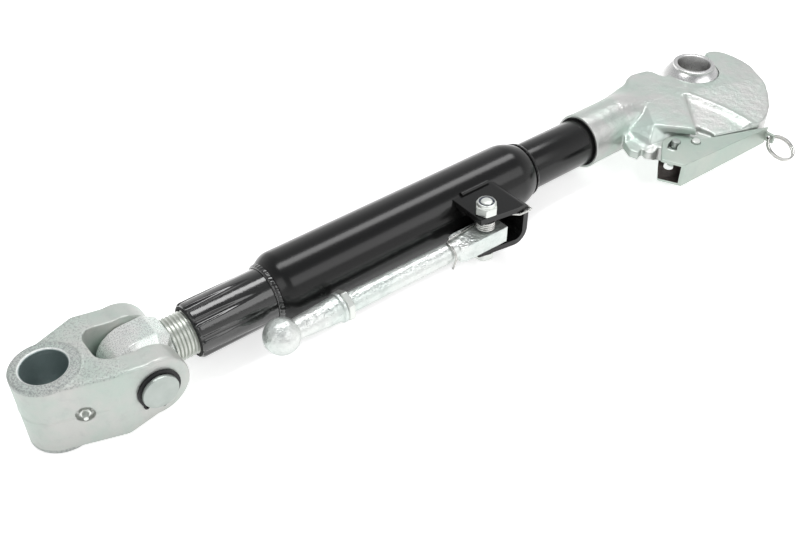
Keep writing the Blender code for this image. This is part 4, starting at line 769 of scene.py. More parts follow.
@dataclass(frozen=True)
class DarkPart:
    """Plain dark piece such as a seal, an insert or a blackened ring."""

    name: str
    base: Colour
    rough: Pair
    metal: float = 0.0
    relief: float = 0.2

    def material(self) -> bpy.types.Material:
        """Builds the material.

        Returns:
            The material.
        """
        nodes = Nodes(self.name)
        clouds = nodes.noise(260.0, 4.0, 0.6)
        pale = tuple(min(1.0, value * 2.2) for value in self.base)
        colour = nodes.ramp(clouds, [(0.40, self.base), (0.75, pale)])
        return nodes.surface(colour, clouds, self.rough, self.metal, [(clouds, 0.0003, self.relief)])


class Finish(Enum):
    """The finishes of this object and the record's slot of each."""

    # The fork's zinc carries the painted highlight and painted shade of its bore.
    FORGED = (ForgedZinc("fork_zinc", (0.60, 0.61, 0.585), (0.52, 0.60, 0.55), 820.0, 0.48, 0.0278,
                         (0.34, 0.50), 0.6, 0.0165, 0.02475), "forged_zinc")
    HOOK = (ForgedZinc("hook_zinc", (0.60, 0.60, 0.585), (0.53, 0.61, 0.56), 700.0, 0.62, 0.05,
                       (0.32, 0.46), 0.9, tint=(0.580, -0.038, 0.004)), "forged_zinc")
    HEAD = (ForgedZinc("head_zinc", (0.80, 0.81, 0.79), (0.70, 0.80, 0.75), 1100.0, 0.45, 0.05,
                       (0.22, 0.34), 0.35), "thread_zinc")
    # Zinc of the thread, brightened to near white: partly its pale plating, partly a painted highlight.
    THREAD = (SmoothZinc("thread_zinc", (0.82, 0.88, 0.85), (0.96, 0.97, 0.96), (0.20, 0.32), 0.20),
              "thread_zinc")
    BRIGHT = (SmoothZinc("bright_zinc", (0.45, 0.49, 0.46), (0.58, 0.62, 0.59), (0.28, 0.40), 0.85),
              "bright_zinc")
    # Painted shade: a darker copy of the bright zinc, for pins whose reflections are dim.
    PIN = (SmoothZinc("pin_zinc", (0.39, 0.43, 0.405), (0.46, 0.50, 0.475), (0.32, 0.44), 0.75, 0.4),
           "bright_zinc")
    STEEL = (SmoothZinc("polished_steel", (0.60, 0.60, 0.60), (0.70, 0.70, 0.69), (0.24, 0.36), 1.0,
                        0.2), "bright_zinc")
    CHANNEL = (ForgedZinc("channel_zinc", (0.50, 0.55, 0.50), (0.44, 0.53, 0.475), 1300.0, 0.62,
                          0.05, (0.38, 0.50), 0.3), "bright_zinc")
    LEVER = (ForgedZinc("lever_zinc", (0.75, 0.77, 0.75), (0.66, 0.72, 0.69), 640.0, 0.74, 0.05,
                        (0.26, 0.42), 2.0), "bright_zinc")
    PAINT = (BlackPaint(), "black_paint")
    SLEEVE = (BlackPaint("sleeve_paint", (0.0065, 0.0065, 0.0062), (0.018, 0.018, 0.017),
                         (0.07, 0.14), 0.22, 1.0), "black_paint")
    # Painted shade: dark brown for the inside of the lever's channel, also given to the pawl that sits
    # within it.
    BARE = (DarkPart("bare_steel", (0.060, 0.050, 0.046), (0.42, 0.58), 0.5, 0.4), "oxide_steel")
    SPRING = (SmoothZinc("spring_wire", (0.42, 0.42, 0.40), (0.66, 0.66, 0.64), (0.2, 0.3), 1.0),
              "spring_steel")
    OXIDE = (DarkPart("blackened_steel", (0.012, 0.012, 0.013), (0.30, 0.46), 0.5), "oxide_steel")
    RUBBER = (DarkPart("seal_rubber", (0.010, 0.010, 0.010), (0.50, 0.70)), "seal_rubber")
    NYLON = (DarkPart("nylon_insert", (0.030, 0.036, 0.055), (0.35, 0.50)), "nylon")

    @property
    def slot(self) -> str:
        """Name of the record's material slot."""
        return self.value[1]

    def material(self) -> bpy.types.Material:
        """The finish's material, built once."""
        made = bpy.data.materials.get(self.value[0].name)
        return made or self.value[0].material()


def dress(piece: Piece, finish: Finish, *nodes: str) -> Piece:
    """Gives a piece its finish and hides the nodes that it stands for.

    Args:
        piece: The finished piece.
        finish: Its finish.
        nodes: CAD nodes that it replaces.

    Returns:
        The piece.
    """
    piece.data.materials.clear()
    piece.data.materials.append(finish.material())
    if nodes:
        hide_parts(*nodes)
    LOG.info("%s, %d faces", piece.name, len(piece.data.polygons))
    return piece


def fit(piece: Piece, finish: Finish, body: str, *nodes: str) -> Piece:
    """Dresses a piece and lets it ride on its body.

    Args:
        piece: The finished piece.
        finish: Its finish.
        body: The body that carries it.
        nodes: CAD nodes that it replaces.

    Returns:
        The piece.
    """
    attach(piece, body)
    return dress(piece, finish, *nodes)


def fit_node(name: str, node: str, finish: Finish, body: str, *edges: float) -> None:
    """Fits the deburred copy of a CAD node, with the values of its Edges."""
    fit(deburred(name, node, Edges(*edges)), finish, body, node)


def build_seal(name: str, ring: Ring) -> Piece:
    """Turns a rubber ring with a rounded lip.

    Args:
        name: Name of the ring.
        ring: Its radii and ends, the lip's end first.

    Returns:
        The ring.
    """
    inner, outer, low, high = ring
    lip = 0.0011
    profile = [(inner, high), (outer, high), *reversed(soft_corner(outer, low, lip, -lip)),
               (inner + lip * 0.6, low), (inner, low + lip * 0.6), (inner, high)]
    return turned(name, profile, Axis.ALONG, sharp=40.0)


def fit_spring(name: str, node: str) -> Piece:
    """Dresses the copy of a spring's CAD node.

    Args:
        name: Name of the new piece.
        node: The CAD node, which it replaces.

    Returns:
        The spring.
    """
    spring = from_node(name, node)
    clean_shell(spring, 80.0)
    return dress(spring, Finish.SPRING, node)


@dataclass
class Knuckle:
    """Forged fork with its eye, the fork pin with its rings, and the grease nipple."""

    pin_x: float = 0.062
    half_width: float = 0.0375
    arm_start: float = 0.020
    arm_inside: float = 0.023
    arm_flank: float = 0.012
    eye_radius: float = 0.02475
    bore: float = 0.0165
    eye_half: float = 0.0325
    face_edge: float = 0.0016
    face_reach: float = 0.0006
    bevel: float = 0.0013
    pin_radius: float = 0.014
    pin_proud: float = 0.0052
    pin_edge: float = 0.0009
    ring_width: float = 0.0022
    ring_seat: float = 0.0129
    parting: float = 0.0006
    parting_half: float = 0.0013
    parting_end: float = 0.030
    parting_clear: float = 0.003

    def on_arm(self, point: Vector) -> float:
        """Share of softening, 1 above and below the arms."""
        return float(abs(point.z) > self.arm_flank and point.x > self.arm_start
                     and abs(point.y) > self.arm_inside)

    def build_fork(self) -> Piece:
        """Forges the fork and machines its bore and eye faces.

        Returns:
            The fork.
        """
        fork = forged("fork_forging", "knuckle_fork", 0.0007, 3)
        melt(fork, self.on_arm, 5)
        true_bore(fork, ZERO, Axis.UP, self.bore, 0.0007, self.eye_half)
        self.machine_eye(fork)
        self.raise_parting_line(fork)
        shade(fork, 50.0)
        return fork

    def machine_eye(self, fork: Piece) -> None:
        """Brings the eye's faces back to their level and bevels the bore's mouths.

        Args:
            fork: The forging.
        """
        for vertex, local in vertices_of(fork):
            away = math.hypot(local.x, local.y)
            flat = abs(abs(local.z) - self.eye_half) < self.face_reach
            if flat and away < self.eye_radius - self.face_edge:
                local.z = math.copysign(self.eye_half, local.z)
                vertex.co.z = LINK_ORIGIN.z + local.z
            short = self.bore + self.bevel - away
            if short > 0.0 and abs(local.z) > self.eye_half - self.bevel:
                level = min(abs(local.z), self.eye_half - short)
                vertex.co.z = LINK_ORIGIN.z + math.copysign(level, local.z)

    def raise_parting_line(self, fork: Piece) -> None:
        """Raises the thin line that the two dies leave round the flanks.

        Args:
            fork: The forging.
        """
        for vertex, local in vertices_of(fork):
            outer = math.hypot(local.x, local.y) > self.eye_radius - self.parting_clear
            between = abs(local.y) < self.half_width - self.parting_clear
            if abs(local.z) < self.parting_half and outer and between \
                    and local.x < self.parting_end and abs(vertex.normal.z) < 0.5:
                away = Vector((vertex.normal.x, vertex.normal.y, 0.0)).normalized()
                if away.dot(Vector((local.x, local.y, 0.0))) > 0.0:
                    vertex.co += away * self.parting * (1.0 - abs(local.z) / self.parting_half)
            vertex.co.x = max(vertex.co.x, CAD_BOX[0][0])

    def build_pin(self) -> Piece:
        """Turns the fork pin with its ring grooves.

        Returns:
            The pin.
        """
        end = self.half_width + self.pin_proud
        groove = self.half_width + self.ring_width
        half = [(0.0, end - 0.0003), (self.pin_radius * 0.55, end - 0.0001),
                *soft_corner(self.pin_radius, end, self.pin_edge, self.pin_edge),
                (self.pin_radius, groove), (self.ring_seat, groove),
                (self.ring_seat, self.half_width), (self.pin_radius, self.half_width)]
        profile = half + [(radius, -height) for radius, height in reversed(half)]
        return turned("fork_pin", profile, Axis.ACROSS, (self.pin_x, 0.0, 0.0))

    def build(self) -> None:
        """Builds and dresses the knuckle."""
        fit(self.build_fork(), Finish.FORGED, "knuckle", "knuckle_fork")
        # The fork pin takes the darker zinc with its painted shade.
        fit(self.build_pin(), Finish.PIN, "knuckle", "knuckle_pin")
        for side in ("near", "far"):
            fit_node(f"snap_ring_{side}", f"circlip_{side}", Finish.OXIDE, "knuckle", 0.0003, 3, 32.0)
        fit_node("grease_nipple", "knuckle_grease_nipple", Finish.BRIGHT, "knuckle", 0.0003, 2, 25.0)


@dataclass
class Spindle:
    """Threaded bar of one end, wound as a true helix."""

    name: str
    node: str
    body: str
    start: float
    end: float
    hand: int
    crest: float = 0.018
    root: float = 0.0162
    pitch: float = 0.003
    steps: int = 56
    sharp: float = 28.0

    def build_thread(self) -> Piece:
        """Winds the tooth's profile into a helix and trims both ends.

        Returns:
            The threaded bar.
        """
        shares = ((0.0, self.root), (0.16, self.root), (0.43, self.crest), (0.57, self.crest),
                  (0.84, self.root), (1.0, self.root))
        thread = polyline(self.name, [(radius, 0.0, share * self.pitch) for share, radius in shares])
        modify(thread, "SCREW", axis="Z", screw_offset=self.pitch, angle=self.hand * math.tau,
               iterations=round((self.end - self.start) / self.pitch) + 3, steps=self.steps,
               render_steps=self.steps, use_merge_vertices=True, merge_threshold=1e-5)
        seat(thread, Matrix.Translation(at(self.start - 1.6 * self.pitch)) @ Axis.ALONG.turn)
        clean_shell(thread, self.sharp)
        bisect(thread, self.start, -1.0)
        bisect(thread, self.end, 1.0)
        clean_shell(thread, self.sharp)
        return thread

    def build(self) -> None:
        """Builds and dresses the bar."""
        fit(self.build_thread(), Finish.THREAD, self.body, self.node)


@dataclass
class KnuckleSpindle(Spindle):
    """Left-hand bar with its flat forged head in the fork."""

    neck: float = 0.0885
    pin_x: float = 0.062
    pin_bore: float = 0.0144
    half_head: float = 0.02

    def build(self) -> None:
        """Builds and dresses the bar and its head."""
        head = from_node("spindle_head", self.node)
        bisect(head, self.neck, 1.0)
        grow_skin(head, 0.0006, 3)
        true_bore(head, (self.pin_x, 0.0, 0.0), Axis.ACROSS, self.pin_bore, 0.0006, self.half_head)
        clean_shell(head, 60.0)
        fit(head, Finish.HEAD, self.body, self.node)
        super().build()


@dataclass
class Turnbuckle:
    """Tube, its two threaded sleeves, the weld beads between them and the wiper."""

    mouth: float = 0.107
    tube_start: float = 0.177
    tube_end: float = 0.447
    right_end: float = 0.566
    spigot: float = 0.012
    bore: float = 0.0183
    lip: float = 0.0209
    lip_depth: float = 0.0055
    sleeve_radius: float = 0.023
    right_radius: float = 0.0223
    right_edge: float = 0.0012
    radius: float = 0.0305
    wall: float = 0.0055
    neck: float = 0.0248
    left_shoulder: float = 0.013
    right_shoulder: float = 0.020
    shoulder_steps: int = 12
    bead_radius: float = 0.0258
    bead_width: float = 0.0042
    flutes: int = 10
    flute_depth: float = 0.0021
    flute_radius: float = 0.0034
    flute_end: float = 0.055
    flute_soft: float = 0.0004
    gap: float = 0.0003
    wiper: Ring = (0.0183, 0.0206, 0.106, 0.1122)

    def shoulder(self, share: float) -> float:
        """Radius of a shoulder, from the neck at 0 to the tube at 1."""
        return self.neck + (self.radius - self.neck) * math.sin(share * math.pi / 2) ** 0.85

    def build_tube(self) -> Piece:
        """Turns the tube with its swaged shoulders.

        Returns:
            The tube.
        """
        shares = [index / self.shoulder_steps for index in range(self.shoulder_steps + 1)]
        low = self.tube_start + self.left_shoulder
        high = self.tube_end - self.right_shoulder
        outside = [(self.shoulder(share), self.tube_start + self.left_shoulder * share)
                   for share in shares]
        outside += [(self.radius, low + (high - low) * step / 6) for step in range(1, 6)]
        outside += [(self.shoulder(share), self.tube_end - self.right_shoulder * share)
                    for share in reversed(shares)]
        left = self.sleeve_radius + self.gap
        right = self.right_radius + self.gap
        inner = self.radius - self.wall
        inside = [(right, self.tube_end), (right, self.tube_end - self.spigot - self.gap),
                  (inner, self.tube_end - self.spigot - self.wall),
                  (inner, self.tube_start + self.spigot + self.wall),
                  (left, self.tube_start + self.spigot + self.gap), (left, self.tube_start)]
        return turned("tube", outside + inside + outside[:1], Axis.ALONG, sharp=30.0, steps=128)

    def build_left_sleeve(self) -> Piece:
        """Turns the left sleeve and presses the flutes into it.

        Returns:
            The sleeve.
        """
        edge = [(self.sleeve_radius - inward, self.mouth + along)
                for inward, along in ((0.0016, 0.0), (0.0009, 0.0004), (0.0004, 0.0012), (0.0001, 0.0022))]
        first, last = self.mouth + 0.0034, self.mouth + self.flute_end + 0.004
        rows = 46
        outside = [(self.sleeve_radius, first + (last - first) * row / rows) for row in range(rows + 1)]
        high, depth = self.tube_start + self.spigot, self.mouth + self.lip_depth
        profile = [(self.bore, high), (self.bore, depth), (self.lip, depth), (self.lip, self.mouth),
                   *edge, *outside, (self.sleeve_radius, high), (self.bore, high)]
        sleeve = turned("left_sleeve", profile, Axis.ALONG, sharp=38.0, steps=240)
        self.press_flutes(sleeve)
        shade(sleeve, 45.0)
        return sleeve

    def press_flutes(self, sleeve: Piece) -> None:
        """Presses round flutes into a sleeve, deepest at its mouth.

        Args:
            sleeve: The turned sleeve.
        """
        for vertex, local in vertices_of(sleeve):
            radius = math.hypot(local.y, local.z)
            along = (local.x - self.mouth) / self.flute_end
            if radius < self.lip + self.gap or not 0.0 <= along < 1.0:
                continue
            turn = math.atan2(local.z, local.y) * self.flutes / math.tau - 0.5
            offset = abs(turn - round(turn)) * math.tau / self.flutes * radius
            reach = self.flute_radius ** 2 - offset ** 2
            if reach <= 0.0:
                continue
            dip = math.sqrt(reach) - (self.flute_radius - self.flute_depth * (1.0 - along))
            dip = 0.5 * (dip + math.hypot(dip, self.flute_soft)) - self.flute_soft * 0.30
            sink(vertex, local, min(max(dip, 0.0), radius - self.lip))

    def build_right_sleeve(self) -> Piece:
        """Turns the smooth right sleeve.

        Returns:
            The sleeve.
        """
        low = self.tube_end - self.spigot
        edge = soft_corner(self.right_radius, self.right_end, self.right_edge, self.right_edge)
        profile = [(self.bore, low), (self.right_radius, low), (self.right_radius, self.tube_end + 0.006),
                   *reversed(edge), (self.bore, self.right_end), (self.bore, low)]
        return turned("right_sleeve", profile, Axis.ALONG, sharp=40.0, steps=128)

    def build_bead(self, name: str, face: float, side: float, fit_radius: float, ripple: float,
                   count: int) -> Piece:
        """Lays a fillet bead round a sleeve, with the ripples of its runs.

        Args:
            name: Name of the bead.
            face: Place of the tube's end face along the link.
            side: -1 for a bead left of the face, 1 for one right of it.
            fit_radius: Radius of the sleeve.
            ripple: Height of the ripples.
            count: Number of ripples round the bead.

        Returns:
            The finished bead.
        """
        inner = fit_radius + self.gap
        rise = self.bead_radius - inner
        rows = 9
        section = [(inner, face + side * self.gap)]
        for row in range(rows + 1):
            turn = math.pi / 2 * row / rows
            out = self.gap + (self.bead_width - self.gap) * math.sin(turn)
            section.append((inner + rise * math.cos(turn) ** 0.8, face + side * out))
        section.append(section[0])
        bead = turned(name, section, Axis.ALONG, sharp=60.0, steps=200)
        for vertex, local in vertices_of(bead):
            lift = (math.hypot(local.y, local.z) - inner) / rise
            if lift < 0.05:
                continue
            turn = math.atan2(local.z, local.y)
            wave = 0.5 + 0.5 * math.sin(turn * count + 1.4 * math.sin(turn * 3.0)
                                        + side * (local.x - face) * 700.0)
            lumps = 0.8 * abs(noise.noise(local * 260.0))
            sink(vertex, local, ripple * (wave + lumps) * min(1.0, lift * 2.0))
        return bead

    def build(self) -> None:
        """Builds and dresses the tube with all that is welded to its ends."""
        fit(self.build_tube(), Finish.PAINT, "tube", "turnbuckle_tube")
        fit(self.build_left_sleeve(), Finish.SLEEVE, "tube", "left_thread_sleeve")
        fit(self.build_right_sleeve(), Finish.PAINT, "tube", "right_thread_sleeve")
        left = self.build_bead("left_bead", self.tube_start, -1.0, self.sleeve_radius, 0.00035, 46)
        fit(left, Finish.SLEEVE, "tube", "left_weld_bead")
        right = self.build_bead("right_bead", self.tube_end, 1.0, self.right_radius, 0.0002, 38)
        fit(right, Finish.PAINT, "tube", "right_weld_bead")
        fit(build_seal("wiper", self.wiper), Finish.RUBBER, "spindle_carrier", "thread_wiper")


@dataclass
class Handle:
    """Bracket, bolt with its locknut and spring, and the lever with its ball grip."""

    bolt_x: float = 0.361
    bolt_y: float = -0.050
    level: float = -0.0012
    plate_top: float = 0.0235
    plate_low: float = -0.0165
    bolt_radius: float = 0.005
    bolt_pitch: float = 0.0015
    nut_radius: float = 0.0098
    nut_height: float = 0.0112
    nut_bore: float = 0.0053
    nut_collar: Profile = ((0.0082, -0.0018), (0.0079, -0.0007), (0.0073, -0.0001), (0.0070, 0.0))
    insert_seat: float = 0.0068
    insert_depth: float = 0.0030
    insert: Profile = ((0.0067, 0.0), (0.0060, 0.0001), (0.0052, -0.0003))
    lock_nut_x: float = 0.214
    knob_x: float = 0.160
    knob_radius: float = 0.0148
    knob_steps: int = 26
    grip_radius: float = 0.0110
    collar_radius: float = 0.0126
    neck_radius: float = 0.0086
    socket: float = 0.0053
    socket_depth: float = 0.018
    yaw: float = -1.0
    spring_reach: float = 0.008

    def on_bolt(self, name: str, profile: Profile, sharp: float = 30.0, steps: int = 64) -> Piece:
        """Turns a piece that stands on the bolt's axis."""
        return turned(name, profile, Axis.UP, (self.bolt_x, self.bolt_y, 0.0), sharp, steps)

    def build_hexagon(self, name: str, low: float, high: float, turn: float,
                      chamfer: float) -> Piece:
        """Makes a hexagon with its corners chamfered round, standing on the bolt's axis.

        Args:
            name: Name of the piece.
            low: Height of its lower face.
            high: Height of its upper face.
            turn: Turn of the hexagon in degrees.
            chamfer: Height of the chamfer as a share of the radius.

        Returns:
            The finished hexagon.
        """
        clear_selection()
        bpy.ops.mesh.primitive_cylinder_add(
            vertices=6, radius=self.nut_radius, depth=high - low,
            location=at(self.bolt_x, self.bolt_y, (low + high) / 2),
            rotation=(0.0, 0.0, math.radians(turn)))
        piece = just_added(name)
        seat(piece, piece.matrix_world.copy())
        Edges(0.0004, 2, 40.0).round_off(piece)
        wide, narrow = self.nut_radius * 1.02, self.nut_radius * 0.90 - 0.001
        drop = self.nut_radius * chamfer
        cone = [(0.0, low - 0.001), (narrow, low - 0.001), (wide, low + drop),
                (wide, high - drop), (narrow, high + 0.001), (0.0, high + 0.001)]
        combine(piece, self.on_bolt(f"{name}_cone", cone, 35.0, TURN_STEPS), "INTERSECT")
        clean_shell(piece, 24.0)
        return piece

    def build_bolt(self) -> Piece:
        """Makes the bolt: its head under the bracket and its threaded end above the nut.

        Returns:
            The bolt.
        """
        head = self.build_hexagon("bolt_head", self.plate_low - 0.0067, self.plate_low - 0.0003,
                                  15.0, 0.14)
        top = self.plate_top + self.nut_height + 0.0006
        radius, pitch = self.bolt_radius, self.bolt_pitch
        height = self.plate_top - 0.002
        profile = [(0.0, self.plate_low - 0.003), (radius, self.plate_low - 0.003), (radius, height)]
        while height + pitch < top - 0.0012:
            profile += [(radius, height + pitch * 0.55), (radius - 0.0007, height + pitch * 0.8),
                        (radius, height + pitch)]
            height += pitch
        profile += [(radius, top - 0.0009), (radius - 0.0008, top - 0.0001),
                    (radius - 0.0012, top), (0.0, top)]
        combine(head, self.on_bolt("bolt_shank", profile, steps=48), "UNION")
        head.name = "bolt"
        clean_shell(head, 30.0)
        return head

    def build_nut(self) -> Piece:
        """Makes the locknut: a hexagon under a round collar that holds the insert.

        Returns:
            The nut.
        """
        low = self.plate_top + 0.0003
        top = self.plate_top + self.nut_height
        step = top - self.insert_depth
        nut = self.build_hexagon("lock_nut_top", low, step, 20.0, 0.10)
        collar = [(0.0, low + 0.001), (self.nut_collar[0][0], low + 0.001),
                  *((radius, top + rise) for radius, rise in self.nut_collar), (0.0, top)]
        bore = [(0.0, low - 0.002), (self.nut_bore, low - 0.002), (self.nut_bore, step),
                (self.insert_seat, step), (self.insert_seat, top + 0.001), (0.0, top + 0.001)]
        combine(nut, self.on_bolt("nut_collar", collar), "UNION")
        combine(nut, self.on_bolt("nut_bore", bore, steps=48), "DIFFERENCE")
        clean_shell(nut, 24.0)
        return nut

    def build_insert(self) -> Piece:
        """Turns the locknut's insert ring.

        Returns:
            The ring.
        """
        top = self.plate_top + self.nut_height - 0.0004
        low = top - 0.0024
        outer, inner = self.insert[0][0], self.insert[-1][0]
        profile = [(inner, low), (outer, low), *((radius, top + rise) for radius, rise in self.insert),
                   (inner, low)]
        return self.on_bolt("nut_ring", profile, 40.0)

    def build_grip(self) -> Piece:
        """Turns the grip with its collar, tapered neck and ball.

        Returns:
            The grip, turned about the bolt as the lever rests against the tube.
        """
        start = self.lock_nut_x - 0.0003
        end = start - 0.0032
        bottom = self.lock_nut_x - self.socket_depth
        collar = self.collar_radius
        profile = [(0.0, bottom), (self.socket, bottom), (self.socket, start), (collar - 0.0008, start),
                   (collar - 0.0002, start - 0.0003), (collar, start - 0.0009), (collar, end + 0.0009),
                   (collar - 0.0003, end + 0.0002), (collar - 0.0010, end),
                   (self.grip_radius, end - 0.0004),
                   (self.neck_radius + 0.0004, self.knob_x + self.knob_radius + 0.0015)]
        join = math.asin(self.neck_radius / self.knob_radius)
        for step in range(self.knob_steps):
            angle = join + (math.pi - join) * step / self.knob_steps
            profile.append((self.knob_radius * math.sin(angle),
                            self.knob_x + self.knob_radius * math.cos(angle)))
        profile.append((0.0, self.knob_x - self.knob_radius))
        grip = turned("grip", profile, Axis.ALONG, (0.0, self.bolt_y, self.level), 40.0, 80)
        pivot = at(self.bolt_x, self.bolt_y)
        turn = Matrix.Rotation(math.radians(self.yaw), 4, "Z")
        seat(grip, Matrix.Translation(pivot) @ turn @ Matrix.Translation(-pivot))
        return grip

    def build(self) -> None:
        """Builds and dresses the handle."""
        fit_node("bracket", "handle_bracket", Finish.PAINT, "tube", 0.0009, 4, 40.0)
        for place in ("top", "bottom"):
            fit_node(f"bracket_bead_{place}", f"bracket_weld_{place}", Finish.PAINT, "tube",
                     0.0004, 2, 50.0)
        fit(self.build_bolt(), Finish.BRIGHT, "tube", "handle_bolt")
        fit(self.build_nut(), Finish.BRIGHT, "tube", "handle_nut")
        fit(self.build_insert(), Finish.NYLON, "tube", "handle_nut_insert")
        fit(forged("lever", "handle_lever", 0.00042, 4), Finish.LEVER, "handle", "handle_lever")
        fit_node("jam_nut", "handle_lock_nut", Finish.BRIGHT, "handle")
        fit(self.build_grip(), Finish.LEVER, "handle", "handle_grip")
        spring = fit_spring("handle_spring", "handle_torsion_spring")
        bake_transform(spring)


@dataclass
class Hook:
    """Forged hook body with its pins, the latch spring, and the rim and seal of its skirt."""

    ball_x: float = 0.688
    ball_clear: float = 0.031
    reach: float = 0.1
    rib: Profile = ((-0.43, -0.25), (-0.37, -0.44), (-0.31, -0.64), (-0.285, -0.86), (-0.28, -0.98))
    wall: Profile = ((-0.43, -0.25), (-0.68, -0.55), (-0.80, -0.69))
    fall: Profile = ((-0.50, -0.13), (0.60, -0.49))
    rib_start: float = -0.020
    rib_width: float = 0.0055
    rib_swell: float = 0.0022
    lug_end: float = 0.5680
    lug_start: float = 0.0265
    lug_fade: float = 0.0070
    lug_thinned: float = 0.45
    rim: Profile = ((0.0238, 0.5310), (0.0238, 0.5247), (0.0243, 0.5241), (0.0257, 0.5240),
                    (0.0263, 0.5245), (0.0264, 0.5255), (0.0262, 0.5310))
    seal: Ring = (0.0226, 0.0237, 0.5246, 0.5288)
    ramp: float = 0.0095
    ramp_start: float = -0.018
    wall_ramp: float = 0.0075
    fall_ramp: float = 0.0140
    fall_level: float = 0.0165
    panel_level: float = 0.0085
    shoulder: Point = (0.612, 0.022, 0.0)
    shoulder_reach: float = 0.026
    bore_end: float = 0.600
    bore_clear: float = 0.0236

    def placed(self, shares: Profile) -> list[Pair]:
        """Link coordinates of points that are given as shares of the hook's reach."""
        return [(self.ball_x + u * self.reach, v * self.reach) for u, v in shares]

    def on_ramp(self, point: Vector) -> float:
        """Share of softening beside the panel's step.

        Args:
            point: The point in link coordinates.

        Returns:
            The share, which counts between 0 and 1.
        """
        if abs(point.z) < self.panel_level or point.y > self.ramp_start:
            return 0.0
        return max(1.5 - 1.5 * away_from(point, self.placed(self.rib)) / self.ramp,
                   1.4 - 1.4 * away_from(point, self.placed(self.wall)) / self.wall_ramp)

    def on_fall(self, point: Vector) -> float:
        """Share of softening where the plate starts to fall towards the lever.

        Args:
            point: The point in link coordinates.

        Returns:
            The share, which counts between 0 and 1.
        """
        if abs(point.z) < self.fall_level \
                or math.hypot(point.x - self.ball_x, point.y) < self.ball_clear:
            return 0.0
        return 1.5 - 1.5 * away_from(point, self.placed(self.fall)) / self.fall_ramp

    def on_shoulder(self, point: Vector) -> float:
        """Share of softening where the shank grows into the plate.

        Args:
            point: The point in link coordinates.

        Returns:
            The share, which counts between 0 and 1.
        """
        if math.hypot(point.y, point.z) < self.bore_clear and point.x < self.bore_end:
            return 0.0
        return 1.5 - 1.5 * (point - Vector(self.shoulder)).length / self.shoulder_reach

    def shape_lug(self, body: Piece) -> None:
        """Swells the rib of the panel and thins the lug left of the lever.

        Args:
            body: The forging.
        """
        rib = self.placed(self.rib)
        for vertex, local in vertices_of(body):
            if abs(local.z) > self.panel_level and local.y < self.rib_start:
                near = max(1.0 - away_from(local, rib) / self.rib_width, 0.0)
                swell = self.rib_swell * near * near * (3.0 - 2.0 * near)
                local.z += math.copysign(swell, local.z)
            forward = min(max((self.lug_end - local.x) / self.lug_fade, 0.0), 1.0)
            outward = min(max((-self.lug_start - local.y) / self.lug_fade, 0.0), 1.0)
            share = 1.0 - self.lug_thinned * forward * outward
            vertex.co.z = LINK_ORIGIN.z + local.z * share

    def build_body(self) -> Piece:
        """Forges the body, with its soft ramp round the sunk panel and its soft shoulder.

        Returns:
            The body.
        """
        body = forged("hook_forging", "hook_body", 0.00102, 4)
        self.shape_lug(body)
        melt(body, self.on_ramp, 40)
        melt(body, self.on_fall, 60)
        melt(body, self.on_shoulder, 60)
        shade(body, 60.0)
        return body

    def build(self) -> None:
        """Builds and dresses the hook."""
        fit(self.build_body(), Finish.HOOK, "hook", "hook_body")
        # The guide pin takes the darker zinc with its painted shade.
        for pin, finish in (("pawl_pivot_pin", Finish.BRIGHT), ("lever_guide_pin", Finish.PIN)):
            fit_node(f"{pin}_turned", pin, finish, "hook")
        coil = fit_spring("latch_coil", "latch_spring")
        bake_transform(coil)
        rim = turned("skirt_rim", [*reversed(self.rim), self.rim[-1]], Axis.ALONG, sharp=40.0)
        fit(rim, Finish.HOOK, "hook")
        fit(build_seal("skirt_ring", self.seal), Finish.RUBBER, "turn_carrier", "skirt_seal")


